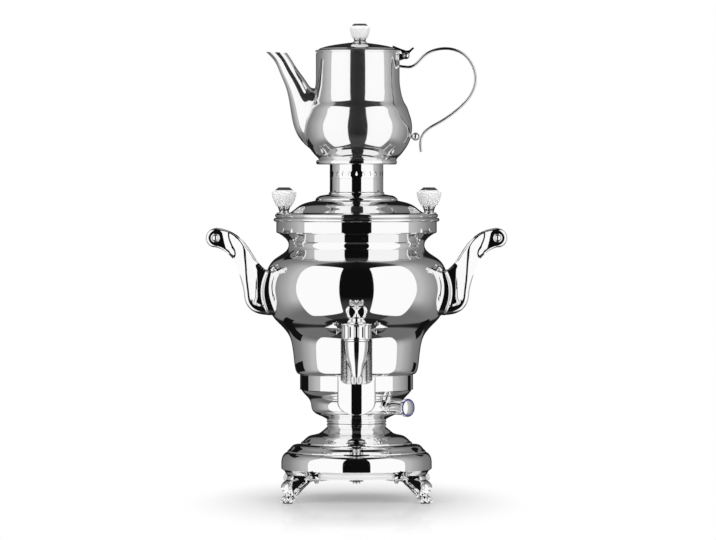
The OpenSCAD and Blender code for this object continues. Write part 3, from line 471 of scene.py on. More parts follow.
def spun(shape, outline, sides, place):
    """Adds the solid that a closed outline of [radius, height] sweeps round the upright axis."""
    rings = []
    for r, z in outline:
        if r < 1e-3:
            rings.append([shape.verts.new((0, 0, z))] * sides)
        else:
            turns = [2 * math.pi * i / sides for i in range(sides)]
            rings.append([shape.verts.new((r * math.cos(a), r * math.sin(a), z)) for a in turns])
    for low, high in zip(rings, rings[1:] + rings[:1]):
        for i in range(sides):
            j = (i + 1) % sides
            corners = dict.fromkeys((low[i], low[j], high[j], high[i]))
            if len(corners) > 2:
                shape.faces.new(list(corners))
    if place is not None:
        bmesh.ops.transform(shape, matrix=place, verts=list({v for ring in rings for v in ring}))


def turned(name, outline, material=mirror_steel, sides=160, place=None):
    shape = bmesh.new()
    spun(shape, outline, sides, place)
    return from_bmesh(name, shape, material)


sheet = 1.2
base_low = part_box("base_cover")[0].z / mm
base_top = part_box("base_cover")[1].z / mm
base_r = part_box("base_cover")[1].x / mm
neck_r = 31.6
base_outline = ([(base_r - 6.7, base_low)] + flow(near(base_r, base_low,
    [(-6.0, 1.4), (-4.6, 3.2), (-3.7, 5.0), (-2.4, 6.5)]), 4)
    + eased(near(base_r, base_low, [(-2.4, 6.5), (0, 8.0), (0, 15.4), (-0.1, 16.9)]), 0.7)[5:-1]
    + flow(near(base_r, base_low, [(-0.2, 17.4), (-0.6, 19.4), (-1.3, 21.4), (-2.5, 23.4), (-4.2, 25.2),
    (-6.6, 26.5)]), 5) + [(base_r - 6.7, base_low + 27.5)]
    + flow(near(base_r, base_low, [(-7.4, 28.1), (-9.6, 30.2), (-11.6, 32.6), (-13.8, 34.2), (-17.6, 35.3),
    (-21.4, 35.8)]), 5) + [(base_r - 21.9, base_low + 37.0)]
    + flow(near(base_r, base_low, [(-23.6, 38.0), (-25.6, 40.0), (-28.4, 42.4), (-32.6, 44.6)])
    + near(neck_r, base_low, [(9.4, 46.6), (6.0, 48.8), (3.2, 51.2), (1.0, 53.0)]) + [(neck_r, base_top)],
    6))
base_cover = turned("base_shell", base_outline + lining(base_outline, sheet))
belongs(base_cover, "base_cover")

ring_low = base_top
ring_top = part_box("pedestal_ring")[1].z / mm
pedestal = turned("pedestal_beads", [(4.5, ring_low), (neck_r, ring_low)]
    + arc(neck_r - 0.5, ring_low + 1.7, 1.45, -75, 75, 10) + [(neck_r - 1.4, ring_low + 3.3)]
    + arc(neck_r - 0.3, ring_low + 4.8, 1.3, -80, 80, 10) + [(neck_r + 0.3, ring_top), (4.5, ring_top)])
belongs(pedestal, "pedestal_ring")

# ---- Lower housing ---------------------------------------------------------------------------
# A spun cup under the vessel that hides the heater and the switch. Its top edge is an upright band
# that butts against the vessel, and its foot is drawn in to the pedestal.

housing_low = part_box("lower_housing")[0].z / mm
housing_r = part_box("lower_housing")[1].x / mm
vessel_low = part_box("water_vessel")[0].z / mm
housing_outline = ([(neck_r + 0.9, housing_low)] + flow(near(neck_r, housing_low,
    [(0.9, 1.2), (6.5, 4.2), (12.6, 7.0)]) + near(housing_r, housing_low,
    [(-13.2, 11.6), (-11.9, 18.0), (-9.6, 23.4), (-4.8, 28.6), (-1.6, 32.8)]), 7)
    + [(housing_r, housing_low + 33.6), (housing_r, vessel_low - 0.5), (housing_r - 0.6, vessel_low)])
housing = turned("housing_shell", housing_outline + lining(housing_outline, sheet)[1:-1]
    + [(4.5, housing_low + sheet), (4.5, housing_low)])
belongs(housing, "lower_housing")

# The drip shield under the tap: a tongue of bent sheet, its top and sides soldered to the band
shield_r, shield_half, shield_low, shield_round = 30.0, 20.7, 94.4, 13.5
shield_top, bend, edge_r = vessel_low - 0.4, 4.0, 1.15


def shield_roll(x, z):
    """How far the face rolls back there, near the tongue's edge."""
    up = max(shield_low + shield_round - z, 0)
    level = math.hypot(x / shield_half, up / shield_round)
    if level < 0.5:
        return 0
    edge = max(1 - level, 0) * level / math.hypot(x / shield_half ** 2, up / shield_round ** 2)
    return edge_r - math.sqrt(edge_r ** 2 - max(edge_r - edge, 0) ** 2)


def shield_face(x, z, depth):
    band = math.sqrt(housing_r ** 2 - x * x) + 0.4
    proud = math.sqrt(shield_r ** 2 - x * x) - math.sqrt(shield_r ** 2 - shield_half ** 2)
    reach = math.sqrt(housing_r ** 2 - shield_half ** 2) + 0.6 + proud
    turned_in = math.sqrt(1 - min(max(z - shield_top + bend, 0) / bend, 1) ** 2)
    return -(band + (reach - band) * turned_in - depth)


shape = bmesh.new()
rings = []
for t in np.radians(np.linspace(-90, 90, 81)):
    x = shield_half * math.sin(t)
    start = shield_low + shield_round * (1 - math.cos(t))
    heights = [start + rise for rise in (0, 0.03, 0.12, 0.28, 0.5, 0.8, 1.2)]
    heights += list(np.linspace(start + 1.8, shield_top - bend, 24))
    heights += [shield_top - bend * (1 - math.sin(math.radians(a))) for a in (25, 45, 62, 76, 90)]
    rings.append([shape.verts.new((x, shield_face(x, z, 0) + shield_roll(x, z), z)) for z in heights]
        + [shape.verts.new((x, shield_face(x, z, sheet), z)) for z in heights[::-1]])
skinned(shape, rings)
shield = from_bmesh("drip_shield", shape, mirror_steel)
belongs(shield)

# ---- Water vessel ----------------------------------------------------------------------------
# The round-bellied vessel is three spun shells, soldered and buffed until no seam shows: a cup with a
# flat floor for the heater plate, the belly, and the drawn-in neck with its upright band. A rolled
# ring stiffens the rim.

belly_r = 100.8
belly_z = 229.5
waist_r = 64.5
scotia_r = 74.1
scotia_z = 277
band_r = 87.5
band_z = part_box("vessel_neck")[1].z / mm
vessel_outline = ([(waist_r - 2.2, vessel_low)] + flow(near(waist_r, vessel_low,
    [(-0.4, 0.7), (1.4, 3.2), (3.0, 9.4), (4.2, 20), (6.2, 33.5), (9.4, 42.6)])
    + near(belly_r, belly_z, [(-19.4, -41.2), (-10.4, -31.6), (-2.9, -16.2), (0, 0), (-2.4, 17.2),
    (-9.4, 30.2)]) + near(scotia_r, scotia_z, [(7.2, -9.9), (1.4, -4.6), (0, 0), (1.2, 4.2), (5.6, 8.9)])
    + [(band_r - 3, scotia_z + 12.2)], 9) + [(band_r - 0.9, scotia_z + 12.9), (band_r, scotia_z + 13.9),
    (band_r, band_z)])
vessel = turned("vessel_shell", vessel_outline + lining(vessel_outline, sheet)[:-1]
    + [(waist_r - 4, vessel_low + sheet), (0, vessel_low + sheet), (0, vessel_low)], sides=224)
belongs(vessel, "water_vessel", "vessel_belly", "vessel_neck")

rim_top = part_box("rim_ring")[1].z / mm
rim_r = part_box("rim_ring")[1].x / mm
bead = (rim_top - band_z) / 2
rim = turned("rim_bead", [(band_r - sheet, band_z), (band_r - 0.4, band_z)]
    + arc(rim_r - bead, band_z + bead, bead, -90, 90, 12) + [(band_r - sheet, rim_top)], sides=192)
belongs(rim, "rim_ring")

# ---- Lid and chimney collar ------------------------------------------------------------------
# The domed lid drops into the rim on a short skirt. The collar soldered on top of it lets steam out
# through a row of pointed holes and carries the ring that the teapot stands on.

lid_r = 88.9
lid_top = 311.2
collar_r = 29.2
collar_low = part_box("lid_collar")[0].z / mm
skirt_r = 85.4
lid_bead = (lid_top - rim_top) / 2
lid_outline = ([(skirt_r, rim_top)] + arc(lid_r - lid_bead, lid_top - lid_bead, lid_bead, -90, 90, 12)
    + [(lid_r - 12.6, lid_top)] + flow(near(lid_r, lid_top,
    [(-15.8, 0.7), (-20.5, 4.0), (-25.6, 8.0), (-33, 11.6), (-43.2, 14.2)]), 7)
    + eased(near(lid_r, lid_top, [(-43.2, 14.2), (-44.0, 14.4), (-44.4, 16.2), (-45.4, 17.2)]), 0.4)[5:-5]
    + flow(near(lid_r, lid_top, [(-45.4, 17.2), (-48.4, 19.2), (-53.0, 20.3)])
    + [(collar_r + 2.4, collar_low - 0.1)], 5) + [(collar_r - 2.2, collar_low)])
lid = turned("lid_shell", [(skirt_r - sheet, rim_top - 7.6), (skirt_r, rim_top - 7.6)] + lid_outline
    + [(collar_r - 2.2, collar_low - sheet)] + [p for p in lining(lid_outline, sheet)
    if collar_r - 2 < p[0] < lid_r - 16] + [(skirt_r - sheet, lid_top - sheet)], sides=192)
belongs(lid, "lid_dome", body="vessel_lid")


def copies_round(piece, count, material, seam=0.0):
    """Repeats a piece round the upright axis with geometry nodes, and makes it one plain mesh."""
    tree = bpy.data.node_groups.get("repeat_round_axis")
    if tree is None:
        tree = bpy.data.node_groups.new("repeat_round_axis", "GeometryNodeTree")
        for label, direction, kind in (("Piece", "INPUT", "NodeSocketGeometry"),
                ("Count", "INPUT", "NodeSocketInt"), ("Seam", "INPUT", "NodeSocketFloat"),
                ("Metal", "INPUT", "NodeSocketMaterial"), ("Ring", "OUTPUT", "NodeSocketGeometry")):
            tree.interface.new_socket(label, in_out=direction, socket_type=kind)
        given = node(tree, "NodeGroupInput").outputs
        places = node(tree, "GeometryNodeMeshLine", inputs={"Count": given["Count"], "Offset": (0, 0, 0)})
        share = node(tree, "ShaderNodeMath", {"operation": "DIVIDE"},
            {0: node(tree, "GeometryNodeInputIndex").outputs[0], 1: given["Count"]})
        angle = calc(tree, "MULTIPLY", share.outputs[0], 2 * math.pi)
        spin = node(tree, "ShaderNodeCombineXYZ", inputs={"Z": angle})
        rotation = node(tree, "FunctionNodeEulerToRotation", inputs={0: spin.outputs[0]})
        ring = node(tree, "GeometryNodeInstanceOnPoints", inputs={"Points": places.outputs[0],
            "Instance": given["Piece"], "Rotation": rotation.outputs[0]})
        solid = node(tree, "GeometryNodeRealizeInstances", inputs={0: ring.outputs[0]})
        closed = node(tree, "GeometryNodeMergeByDistance", inputs={"Geometry": solid.outputs[0],
            "Distance": given["Seam"]})
        coated = node(tree, "GeometryNodeSetMaterial", inputs={0: closed.outputs[0],
            "Material": given["Metal"]})
        node(tree, "NodeGroupOutput", inputs={"Ring": coated.outputs[0]})
    repeat = piece.modifiers.new("repeat", "NODES")
    repeat.node_group = tree
    values = {"Count": count, "Seam": seam, "Metal": material}
    for socket in tree.interface.items_tree:
        if socket.in_out == "INPUT" and socket.name in values:
            repeat[socket.identifier] = values[socket.name]
    return made_plain(piece)


def made_plain(piece):
    """Turns a piece and its modifiers into a plain mesh that keeps its name."""
    evaluated = piece.evaluated_get(bpy.context.evaluated_depsgraph_get())
    mesh = bpy.data.meshes.new_from_object(evaluated)
    name = piece.name
    if piece.type == "MESH":
        piece.modifiers.clear()
        piece.data = mesh
        return piece
    bpy.data.objects.remove(piece)
    return new_object(name, mesh)


def pierced_bay(name, r_out, r_in, low, high, count, hole):
    """One bay of a pierced wall, with a pointed hole through it, to be repeated round the axis."""
    steps = 6
    half = math.pi / count
    middle = (low + high) / 2
    shape = bmesh.new()
    # The hole's outline and the bay's border have the same number of points, joined by straight strips
    hole_points = [(hole * math.sin(a), -hole * math.cos(a)) for a in np.linspace(0, 1.9, steps + 1)]
    tip = hole * 2.8
    shoulder_x, shoulder_y = hole_points[-1]
    right = hole_points + [(shoulder_x * (1 - t), shoulder_y * (1 - t) + tip * t)
        for t in np.linspace(0, 1, steps + 1)[1:]]
    loop = right + [(-x, y) for x, y in right[-2:0:-1]]
    width, tall = half * r_out, (high - low) / 2
    turns = np.cumsum([0, width, 2 * tall, width])
    along = np.linspace(0, turns[-1], len(right))
    border = list(zip(np.interp(along, turns, [0, width, width, 0]),
        np.interp(along, turns, [-tall, -tall, tall, tall])))
    for snap in ((width, -tall), (width, tall)):
        closest = min(range(len(border)), key=lambda i: math.dist(border[i], snap))
        border[closest] = snap
    border += [(-x, y) for x, y in border[-2:0:-1]]
    rings = []
    for r in (r_out, r_in):
        for outline in (loop, border):
            rings.append([shape.verts.new((r * math.sin(x / r_out), -r * math.cos(x / r_out), middle + y))
                for x, y in outline])
    outer_hole, outer_edge, inner_hole, inner_edge = rings
    n = len(loop)
    for i in range(n):
        j = (i + 1) % n
        shape.faces.new((outer_hole[i], outer_edge[i], outer_edge[j], outer_hole[j]))
        shape.faces.new((inner_hole[j], inner_edge[j], inner_edge[i], inner_hole[i]))
        shape.faces.new((outer_hole[j], inner_hole[j], inner_hole[i], outer_hole[i]))
        if min(abs(border[i][1]), abs(border[j][1])) > tall - 1e-6:
            shape.faces.new((outer_edge[i], inner_edge[i], inner_edge[j], outer_edge[j]))
    return from_bmesh(name, shape, mirror_steel)


stand_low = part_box("lid_collar")[1].z / mm
pierced_low, pierced_high = stand_low - 15, stand_low - 6.6
collar_holes, collar_hole_r = 24, 1.35
pierced = copies_round(pierced_bay("collar_pierced_band", collar_r, collar_r - 1, pierced_low, pierced_high,
    collar_holes, collar_hole_r), collar_holes, mirror_steel, seam=0.00002)
belongs(pierced, "lid_collar", body="vessel_lid")
collar_foot = turned("collar_foot", eased(near(collar_r, collar_low,
    [(-1, 0), (1.2, 0), (1.2, 1.5), (0, 2.4)]) + [(collar_r, pierced_low), (collar_r - 1, pierced_low)],
    0.3))
belongs(collar_foot, body="vessel_lid")
collar_head = turned("collar_head", [(collar_r - 1, pierced_high), (collar_r, pierced_high),
    (collar_r, stand_low), (collar_r - 1, stand_low)])
belongs(collar_head, body="vessel_lid")

stand_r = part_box("pot_stand")[1].x / mm
stand_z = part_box("pot_stand")[1].z / mm
pot_stand = turned("pot_stand_ring", eased([(20, stand_low), (stand_r - 1.6, stand_low),
    (stand_r, stand_low + 1.2), (stand_r, stand_z - 1.2), (stand_r - 1.2, stand_z), (36, stand_z),
    (34.5, stand_low + 1.5), (20, stand_low + 1.5)], 0.6))
belongs(pot_stand, "pot_stand", body="vessel_lid")

# ---- Teapot ----------------------------------------------------------------------------------
# The teapot is spun from 1 mm steel sheet and stands on a turned foot ring. Its lid is pressed from the
# same sheet and drops into the mouth on a skirt; both are buffed, but less brightly than the vessel.

pot_x = 1.3
pot_r = 59.3
pot_neck_r = 45.6
pot_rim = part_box("teapot_body")[1].z / mm
pot_sheet = 1.0
pot_place = Matrix.Translation((pot_x, 0, 0))
pot_outline = ([(36.5, stand_z + 2), (37.5, stand_z), (42, stand_z), (42.6, stand_z + 0.6)]
    + flow(near(pot_r, stand_z, [(-16.1, 2), (-12.9, 5.1), (-9.9, 8.7), (-3.2, 19.4), (0, 34.6),
    (-1.2, 44.6), (-3.6, 52.3), (-5.0, 56.4), (-6.7, 59.7), (-8.6, 62.9), (-10.0, 66.4), (-11.4, 71.0)])
    + near(pot_neck_r, stand_z, [(1.5, 75), (0.4, 82), (0, 90)]), 7)
    + [(pot_neck_r, pot_rim - 0.6), (pot_neck_r - 0.2, pot_rim)])
pot_floor = stand_z + 3.5
pot_inside = [p for p in lining(pot_outline, pot_sheet) if p[1] > pot_floor + 2]
pot = turned("pot_shell", [(0, stand_z + 2)] + pot_outline + [(pot_neck_r - pot_sheet, pot_rim)]
    + pot_inside[2:] + [(39.5, pot_floor), (0, pot_floor)], pot_steel, sides=192, place=pot_place)
belongs(pot, "teapot_body", body="pot")

pot_lid_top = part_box("teapot_lid")[1].z / mm
lid_skirt_r = pot_neck_r - pot_sheet - 0.6
pot_lid = turned("pot_lid_shell", near(lid_skirt_r, pot_rim, [(-1, -7), (0, -7), (0, 0)])
    + eased([(lid_skirt_r, pot_rim, 0)] + near(pot_neck_r, pot_rim,
    [(-1.4, 0, 0.1), (-1.4, 0.9, 0.1), (0.7, 0.9, 0.3), (0.7, 2.6, 0.8)]) + [(43.0, pot_rim + 3.8, 1.0)],
    0.4)[1:] + flow([(41.4, pot_rim + 5.0), (33.4, pot_rim + 7.4), (19.6, pot_rim + 9.8),
    (10.6, pot_lid_top - 0.3)], 6) + [(8, pot_lid_top), (0, pot_lid_top), (0, pot_lid_top - 1),
    (10.2, pot_lid_top - 1.2), (18.7, pot_rim + 8.8), (33.8, pot_rim + 6.3),
    (lid_skirt_r - 1, pot_rim + 2.6)], pot_steel, sides=160, place=pot_place)
belongs(pot_lid, "teapot_lid", body="pot_lid")

# ---- Paw feet --------------------------------------------------------------------------------
# Four cast and chromed legs, screwed up into the base plate: a scroll at the shoulder, a bead down
# each edge of a thin web, and a paw that rests on a felt-like rubber pad.

def swept(shape, path, sections):
    """Adds a closed bar along a path of [x, z] points, with a section of [across, y] points at each."""
    path = np.array(path, float)
    run = np.gradient(path, axis=0)
    run /= np.linalg.norm(run, axis=1)[:, None]
    rings = []
    for (x, z), (dx, dz), section in zip(path, run, sections):
        rings.append([shape.verts.new((x - dz * a, b, z + dx * a)) for a, b in section])
    skinned(shape, rings)


def tube(shape, path, thick, wide, sides=20):
    """Adds a bar that is oval across: thick in the plane of its path, wide in y."""
    t = np.linspace(0, 1, len(path))
    halves = [np.interp(t, np.linspace(0, 1, len(half)), half) for half in (thick, wide)]
    turns = [2 * math.pi * k / sides for k in range(sides)]
    swept(shape, path, [[(a * math.cos(k), b * math.sin(k)) for k in turns] for a, b in zip(*halves)])


def ball(shape, centre, radii, tilt=0.0):
    """Adds an ellipsoid."""
    place = Matrix.Translation(centre) @ tipped(tilt, "Z") @ Matrix.Diagonal((*radii, 1))
    bmesh.ops.create_icosphere(shape, subdivisions=4, radius=1, matrix=place)


def slab(shape, outline, front, back):
    """Adds a flat block with that [x, z] outline between two distances along y."""
    ends = [[shape.verts.new((x, y, z)) for x, z in outline] for y in (front, back)]
    shape.faces.new(ends[0])
    shape.faces.new(ends[1][::-1])
    for i in range(len(outline)):
        j = (i + 1) % len(outline)
        shape.faces.new((ends[0][j], ends[0][i], ends[1][i], ends[1][j]))


def cast_from(name, shape, grain, rounds, material):
    """Melts overlapping solids into one smooth casting."""
    bmesh.ops.recalc_face_normals(shape, faces=shape.faces)
    mesh = bpy.data.meshes.new(name)
    shape.to_mesh(mesh)
    shape.free()
    rough = new_object(name, mesh)
    melt = rough.modifiers.new("melt", "REMESH")
    melt.mode = "VOXEL"
    melt.voxel_size = grain
    ease_out = rough.modifiers.new("ease_out", "SMOOTH")
    ease_out.iterations = rounds
    ease_out.factor = 0.5
    made = made_plain(rough)
    made.data.transform(Matrix.Scale(mm, 4))
    made.data.shade_smooth()
    made.data.materials.clear()
    made.data.materials.append(material)
    return made


pad_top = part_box("foot_pads")[1].z / mm
under = base_low - 0.3
shape = bmesh.new()
slab(shape, [(64, under), (73.2, under), (76.8, under + 2.2), (80, under + 4.0), (98.4, under + 5.6),
    (100.4, under + 3.6), (101, 12), (97, 7), (92.5, 12.5), (84, 18.4), (74, 22.8), (64, under - 1.5)],
    -1.8, 1.8)
tube(shape, flow([(62, under - 0.6), (72, 23.6), (81, 20.6), (89, 16.2), (95, 11.6), (98.6, 7)], 6),
    [1.7, 1.9, 2.0], [6.4, 6.0, 5.2])
tube(shape, flow([(74, 20.4), (82, 16.2), (89.4, 11.2), (95, 6.4), (97.6, 3.6)], 6), [0.5, 1.1, 1.2],
    [2.6, 3.6, 3.8])
tube(shape, flow([(99.6, under + 4.2), (101.6, 24.6), (102.4, 17), (101.4, 11), (101.4, 7)], 6),
    [1.0, 1.4, 1.8], [5.0, 4.8, 4.4])
tube(shape, flow([(92, under + 0.2), (99, under - 0.2), (104.6, under - 1.8), (108.6, under - 5.0),
    (108.4, under - 8.6), (105.4, under - 10.0), (103.4, under - 8.0), (105.0, under - 6.0)], 6),
    [1.2, 1.5, 1.6, 1.4, 1.1], [5.0, 5.6, 5.8, 5.6, 5.2])
ball(shape, (105.8, 0, under - 6.6), (1.9, 6.4, 1.9))
ball(shape, (105.8, 0, 13.6), (3.9, 5.0, 3.4))
ball(shape, (101.2, 0, 10.4), (4.2, 4.8, 4.6))
ball(shape, (102.6, 0, 5.4), (6.8, 6.2, 4.8))
for tilt, y, reach in ((-30, -5.4, 104.2), (-9, -1.9, 106.6), (9, 1.9, 106.6), (30, 5.4, 104.2)):
    ball(shape, (reach, y, 4.3), (4.0, 1.9, 3.4), tilt)
    ball(shape, (reach + 3.2, y * 1.22, 2.7), (1.9, 1.0, 1.7), tilt)
ball(shape, (66, 0, under), (16, 19, 2.4))
for v in shape.verts:
    v.co.z = max(v.co.z, pad_top)
paw = cast_from("paw_foot", shape, 0.5, 3, cast_chrome)
for angle, label in ((225, "front_left"), (315, "front_right"), (135, "rear_left"), (45, "rear_right")):
    foot = new_object("paw_foot_" + label, paw.data.copy())
    foot.data.transform(tipped(angle, "Z"))
    belongs(foot, "leg_" + label)
bpy.data.objects.remove(paw)

# ---- Crystal knobs ---------------------------------------------------------------------------
# Pressed and polished glass, cut with eight facets round the crown. Six prongs of the chromed mount
# hold each one, and its glass stud shows between them.

def crystal(name, radius, height, place, foot, table):
    """A faceted knob: foot and table are the widths of its lower end and flat top beside its girdle."""
    rings = [(0.30, -0.26, 8), (0.34, -0.03, 8), (foot, 0.0, 16), (foot + 0.12, 0.10, 16),
        (0.45 * foot + 0.6, 0.32, 16), (0.98, 0.57, 16), (1.0, 0.70, 16), (0.5 * table + 0.55, 0.85, 8),
        (table, 1.0, 8)]
    shape = bmesh.new()
    lines = []
    for r, z, count in rings:
        half = math.pi / 8 if count == 8 and z > 0 else 0
        turns = [2 * math.pi * i / count + half for i in range(count)]
        lines.append([shape.verts.new((radius * r * math.cos(a), radius * r * math.sin(a), height * z))
            for a in turns])
    shape.faces.new(lines[0][::-1])
    shape.faces.new(lines[-1])
    # Where eight corners meet sixteen, the eight stand over every second one, turned by half a facet
    for low, high in zip(lines, lines[1:]):
        few = min(len(low), len(high))
        for k in range(few):
            n = (k + 1) % few
            if len(low) == len(high):
                facets = [(low[k], low[n], high[n], high[k])]
            elif len(low) < len(high):
                facets = [(low[k], high[2 * k + 1], high[2 * k]), (low[k], low[n], high[2 * k + 1]),
                    (low[n], high[2 * n], high[2 * k + 1])]
            else:
                facets = [(low[2 * k], low[2 * k + 1], high[k]), (low[2 * k + 1], low[2 * n], high[k]),
                    (low[2 * n], high[n], high[k])]
            for facet in facets:
                shape.faces.new(facet)
    # The narrow facets round the flat top are inset and take the painted dark material
    bevels = [f for f in shape.faces if 0.88 * height < f.calc_center_median().z < 0.99 * height]
    bmesh.ops.inset_individual(shape, faces=bevels, thickness=0.08 * radius, use_even_offset=True)
    for bevel in bevels:
        bevel.material_index = 1
    made = from_bmesh(name, shape, cut_glass, place=place)
    made.data.materials.append(painted_dark_facet)
    made.data.shade_flat()
    return made


cut_glass, tree = new_material("cut_glass")
tint = node(tree, "ShaderNodeMapRange", inputs={0: noise(tree, 160.0, 1.0), 3: 0.94, 4: 0.99}).outputs[0]
colour = node(tree, "ShaderNodeCombineColor", inputs={0: tint, 1: tint, 2: tint}).outputs[0]
# Painted shade: the milky glass turns grey towards the rim of its outline, where it faces away from the view,
# in place of the dark the edges refract
facing = node(tree, "ShaderNodeLayerWeight", inputs={"Blend": 0.4}).outputs["Facing"]
outline = ease(tree, facing, 0.72, 1.0)
milky_with_painted_dark_rim = either(tree, outline, colour, grey(0.42))
glass = node(tree, "ShaderNodeBsdfPrincipled", inputs={"Base Color": colour, "Roughness": 0.02, "IOR": 1.45,
    "Transmission Weight": 1.0})
front = node(tree, "ShaderNodeBsdfDiffuse", inputs={"Color": milky_with_painted_dark_rim})
through = node(tree, "ShaderNodeBsdfTranslucent", inputs={"Color": milky_with_painted_dark_rim})
finish_material(tree, layered(tree, 0.78, glass, layered(tree, 0.5, front, through)))
# Painted dark: the narrow facets round the flat top get a near-black material, in place of the dark they show
# because light leaves the glass sideways there
painted_dark_facet, tree = new_material("painted_dark_facet")
deep = either(tree, noise(tree, 300.0, 1.0), grey(0.02), grey(0.07))
finish_material(tree, node(tree, "ShaderNodeBsdfPrincipled",
    inputs={"Base Color": deep, "Roughness": 0.1, "Specular IOR Level": 0.2}))
dull_chrome = metal("dull_chrome", (0.12, 0.12, 0.125), haze=0.08, lines=0.1)


def pronged_mount(name, radius, height, place, spread, material):
    """A disc, six prongs that hold the glass and a thin band round them; spread is how wide they start."""
    shape = bmesh.new()
    tube(shape, flow([(spread * radius, 0.6), ((0.9 * spread + 0.1) * radius, 0.35 * height),
        ((0.5 * spread + 0.5) * radius, 0.75 * height), (1.02 * radius, height + 0.8)], 5),
        [0.75, 0.7, 0.8, 0.65], [1.0, 0.9, 0.95, 0.8], 12)
    prongs = copies_round(from_bmesh(name + "_prongs", shape, material), 6, material)
    prongs.data.transform(Matrix.Translation(place.translation * mm) @ tipped(30, "Z"))
    foot = turned(name, eased([(0, 0, 0), (1.12 * radius, 0), (1.12 * radius, 0.9), (spread * radius, 1.4),
        (0.8 * spread * radius, 1.7), (0, 1.7, 0)], 0.4), cast_chrome, 48, place)
    band = turned(name + "_band", [((0.6 * spread + 0.32) * radius + 0.55 * math.cos(a),
        0.52 * height + 0.55 * math.sin(a)) for a in np.radians(np.arange(0, 360, 36))], material, 48,
        place)
    return foot, prongs, band


knob_x = 79
for side, label in left_and_right:
    seat_at = Matrix.Translation((side * knob_x, 0, lid_top))
    glass_at = Matrix.Translation((side * knob_x, 0, lid_top + 7.6))
    gem = crystal("lid_crystal_" + label, 13.6, 20.9, glass_at, 0.56, 0.48)
    belongs(gem, *(["lid_knobs"] if side < 0 else []), body="vessel_lid", slot="cut_glass")
    for number, piece in enumerate(pronged_mount("lid_crystal_mount_" + label, 7.4, 7.6, seat_at, 0.68,
            dull_chrome)):
        belongs(piece, *(["lid_knob_mounts"] if side < 0 and number == 0 else []), body="vessel_lid")
pot_knob_at = pot_x + 2.3
gem = crystal("pot_crystal", 11.1, 15.9, Matrix.Translation((pot_knob_at, 0, pot_lid_top + 4.6)), 0.68, 0.64)
belongs(gem, "pot_knob", body="pot_lid", slot="cut_glass")
pot_seat_at = Matrix.Translation((pot_knob_at, 0, pot_lid_top))
for number, piece in enumerate(pronged_mount("pot_crystal_mount", 6.9, 4.6, pot_seat_at, 0.92, dull_chrome)):
    belongs(piece, *(["pot_knob_mount"] if number == 0 else []), body="pot_lid")

# ---- Teapot spout, handle and lid hinge --------------------------------------------------------
# The spout is drawn from tube and welded over a strainer. The handle is bent from flat bar and held
# off the body by a ball, and the lid swings on a pin between the two ears of a bracket.

def radius_at(outline, z):
    """How wide an outline that rises all the way is at a height."""
    radii, heights = np.array(outline).T
    return np.interp(z, heights, radii)


spout_outer = [(-46, 377), (-60, 389), (-69, 404.4), (-73.8, 428), (-78.1, 448), (-84.2, 463),
    (-90.3, 476.5), (-99.9, 487.2)]
spout_inner = [(-36, 446), (-40, 448), (-49.8, 448), (-55.3, 454), (-61.3, 462.5), (-67.3, 471),
    (-72.7, 479.6), (-77.1, 486)]
spout_half = [20, 19, 16, 12.5, 10, 8.6, 8, 8]
outer = np.array(flow(spout_outer, 8))
inner = np.array(flow(spout_inner, 8))
depths = np.array(flow([(d, 10 * i) for i, d in enumerate(spout_half)], 8))[:, 0]
count = min(len(outer), len(inner), len(depths))
pot_side = [p for p in pot_outline if p[1] > stand_z + 3]
shape = bmesh.new()
sides = 48
walls = []
for shrink in (0.0, pot_sheet):
    rings = []
    for i in range(count):
        middle, half = (outer[i] + inner[i]) / 2, (inner[i] - outer[i]) / 2
        k = 1 - shrink / np.linalg.norm(half)
        ring = []
        for a in np.linspace(0, 2 * math.pi, sides, endpoint=False):
            x, z = middle + k * half * math.cos(a)
            y = (depths[i] - shrink) * math.sin(a)
            skin_r = radius_at(pot_side, z) - 0.4
            reach = math.hypot(x, y)
            if reach < skin_r:
                x, y = x * skin_r / reach, y * skin_r / reach
            ring.append(shape.verts.new((x, y, z)))
        rings.append(ring)
    walls.append(rings if shrink == 0 else rings[::-1])
skinned(shape, walls[0] + walls[1] + walls[0][:1], ends=False)
spout = from_bmesh("drawn_spout", shape, pot_steel, corner=50, place=pot_place)
belongs(spout, "teapot_spout", body="pot")

strap_knots = [(44, 472), (59, 471.4), (67.8, 478.3), (76.6, 486.1), (95.2, 490.8), (114.7, 485),
    (126, 469.8), (128, 454), (122.4, 439.3), (108.2, 424), (89.7, 411), (75, 402), (68.6, 392),
    (69, 378.2)]
strap_half, strap_wide = 1.45, 5
strap_section = eased([(-strap_half, -strap_wide), (strap_half, -strap_wide), (strap_half, strap_wide),
    (-strap_half, strap_wide)], 1.4, 6)
shape = bmesh.new()
strap = flow(strap_knots, 9)
swept(shape, strap, [strap_section] * len(strap))
handle = from_bmesh("strap_handle", shape, mirror_steel, place=pot_place)
belongs(handle, "teapot_handle", body="pot")
spacer_at = pot_place @ Matrix.Translation((0, 0, 395)) @ tipped(90, "Y")
spacer = turned("handle_ball", [(0, 57.5), (2, 57.5), (2, 59)] + arc(0, 63, 4.4, -63, 63, 16)
    + [(2, 67.2), (0, 67.2)], mirror_steel, 48, spacer_at)
belongs(spacer, "handle_spacer", body="pot")


def flat_piece(name, outline, front, back, material, edge):
    """A flat piece with eased edges, cut to an [x, z] outline in the teapot's middle plane."""
    shape = bmesh.new()
    slab(shape, outline, front, back)
    bmesh.ops.recalc_face_normals(shape, faces=shape.faces)
    bmesh.ops.bevel(shape, geom=[e for e in shape.edges if abs(e.verts[0].co.y - e.verts[1].co.y) < 1e-6],
        offset=edge, segments=3, affect="EDGES", profile=0.5, clamp_overlap=True)
    return from_bmesh(name, shape, material, place=pot_place)


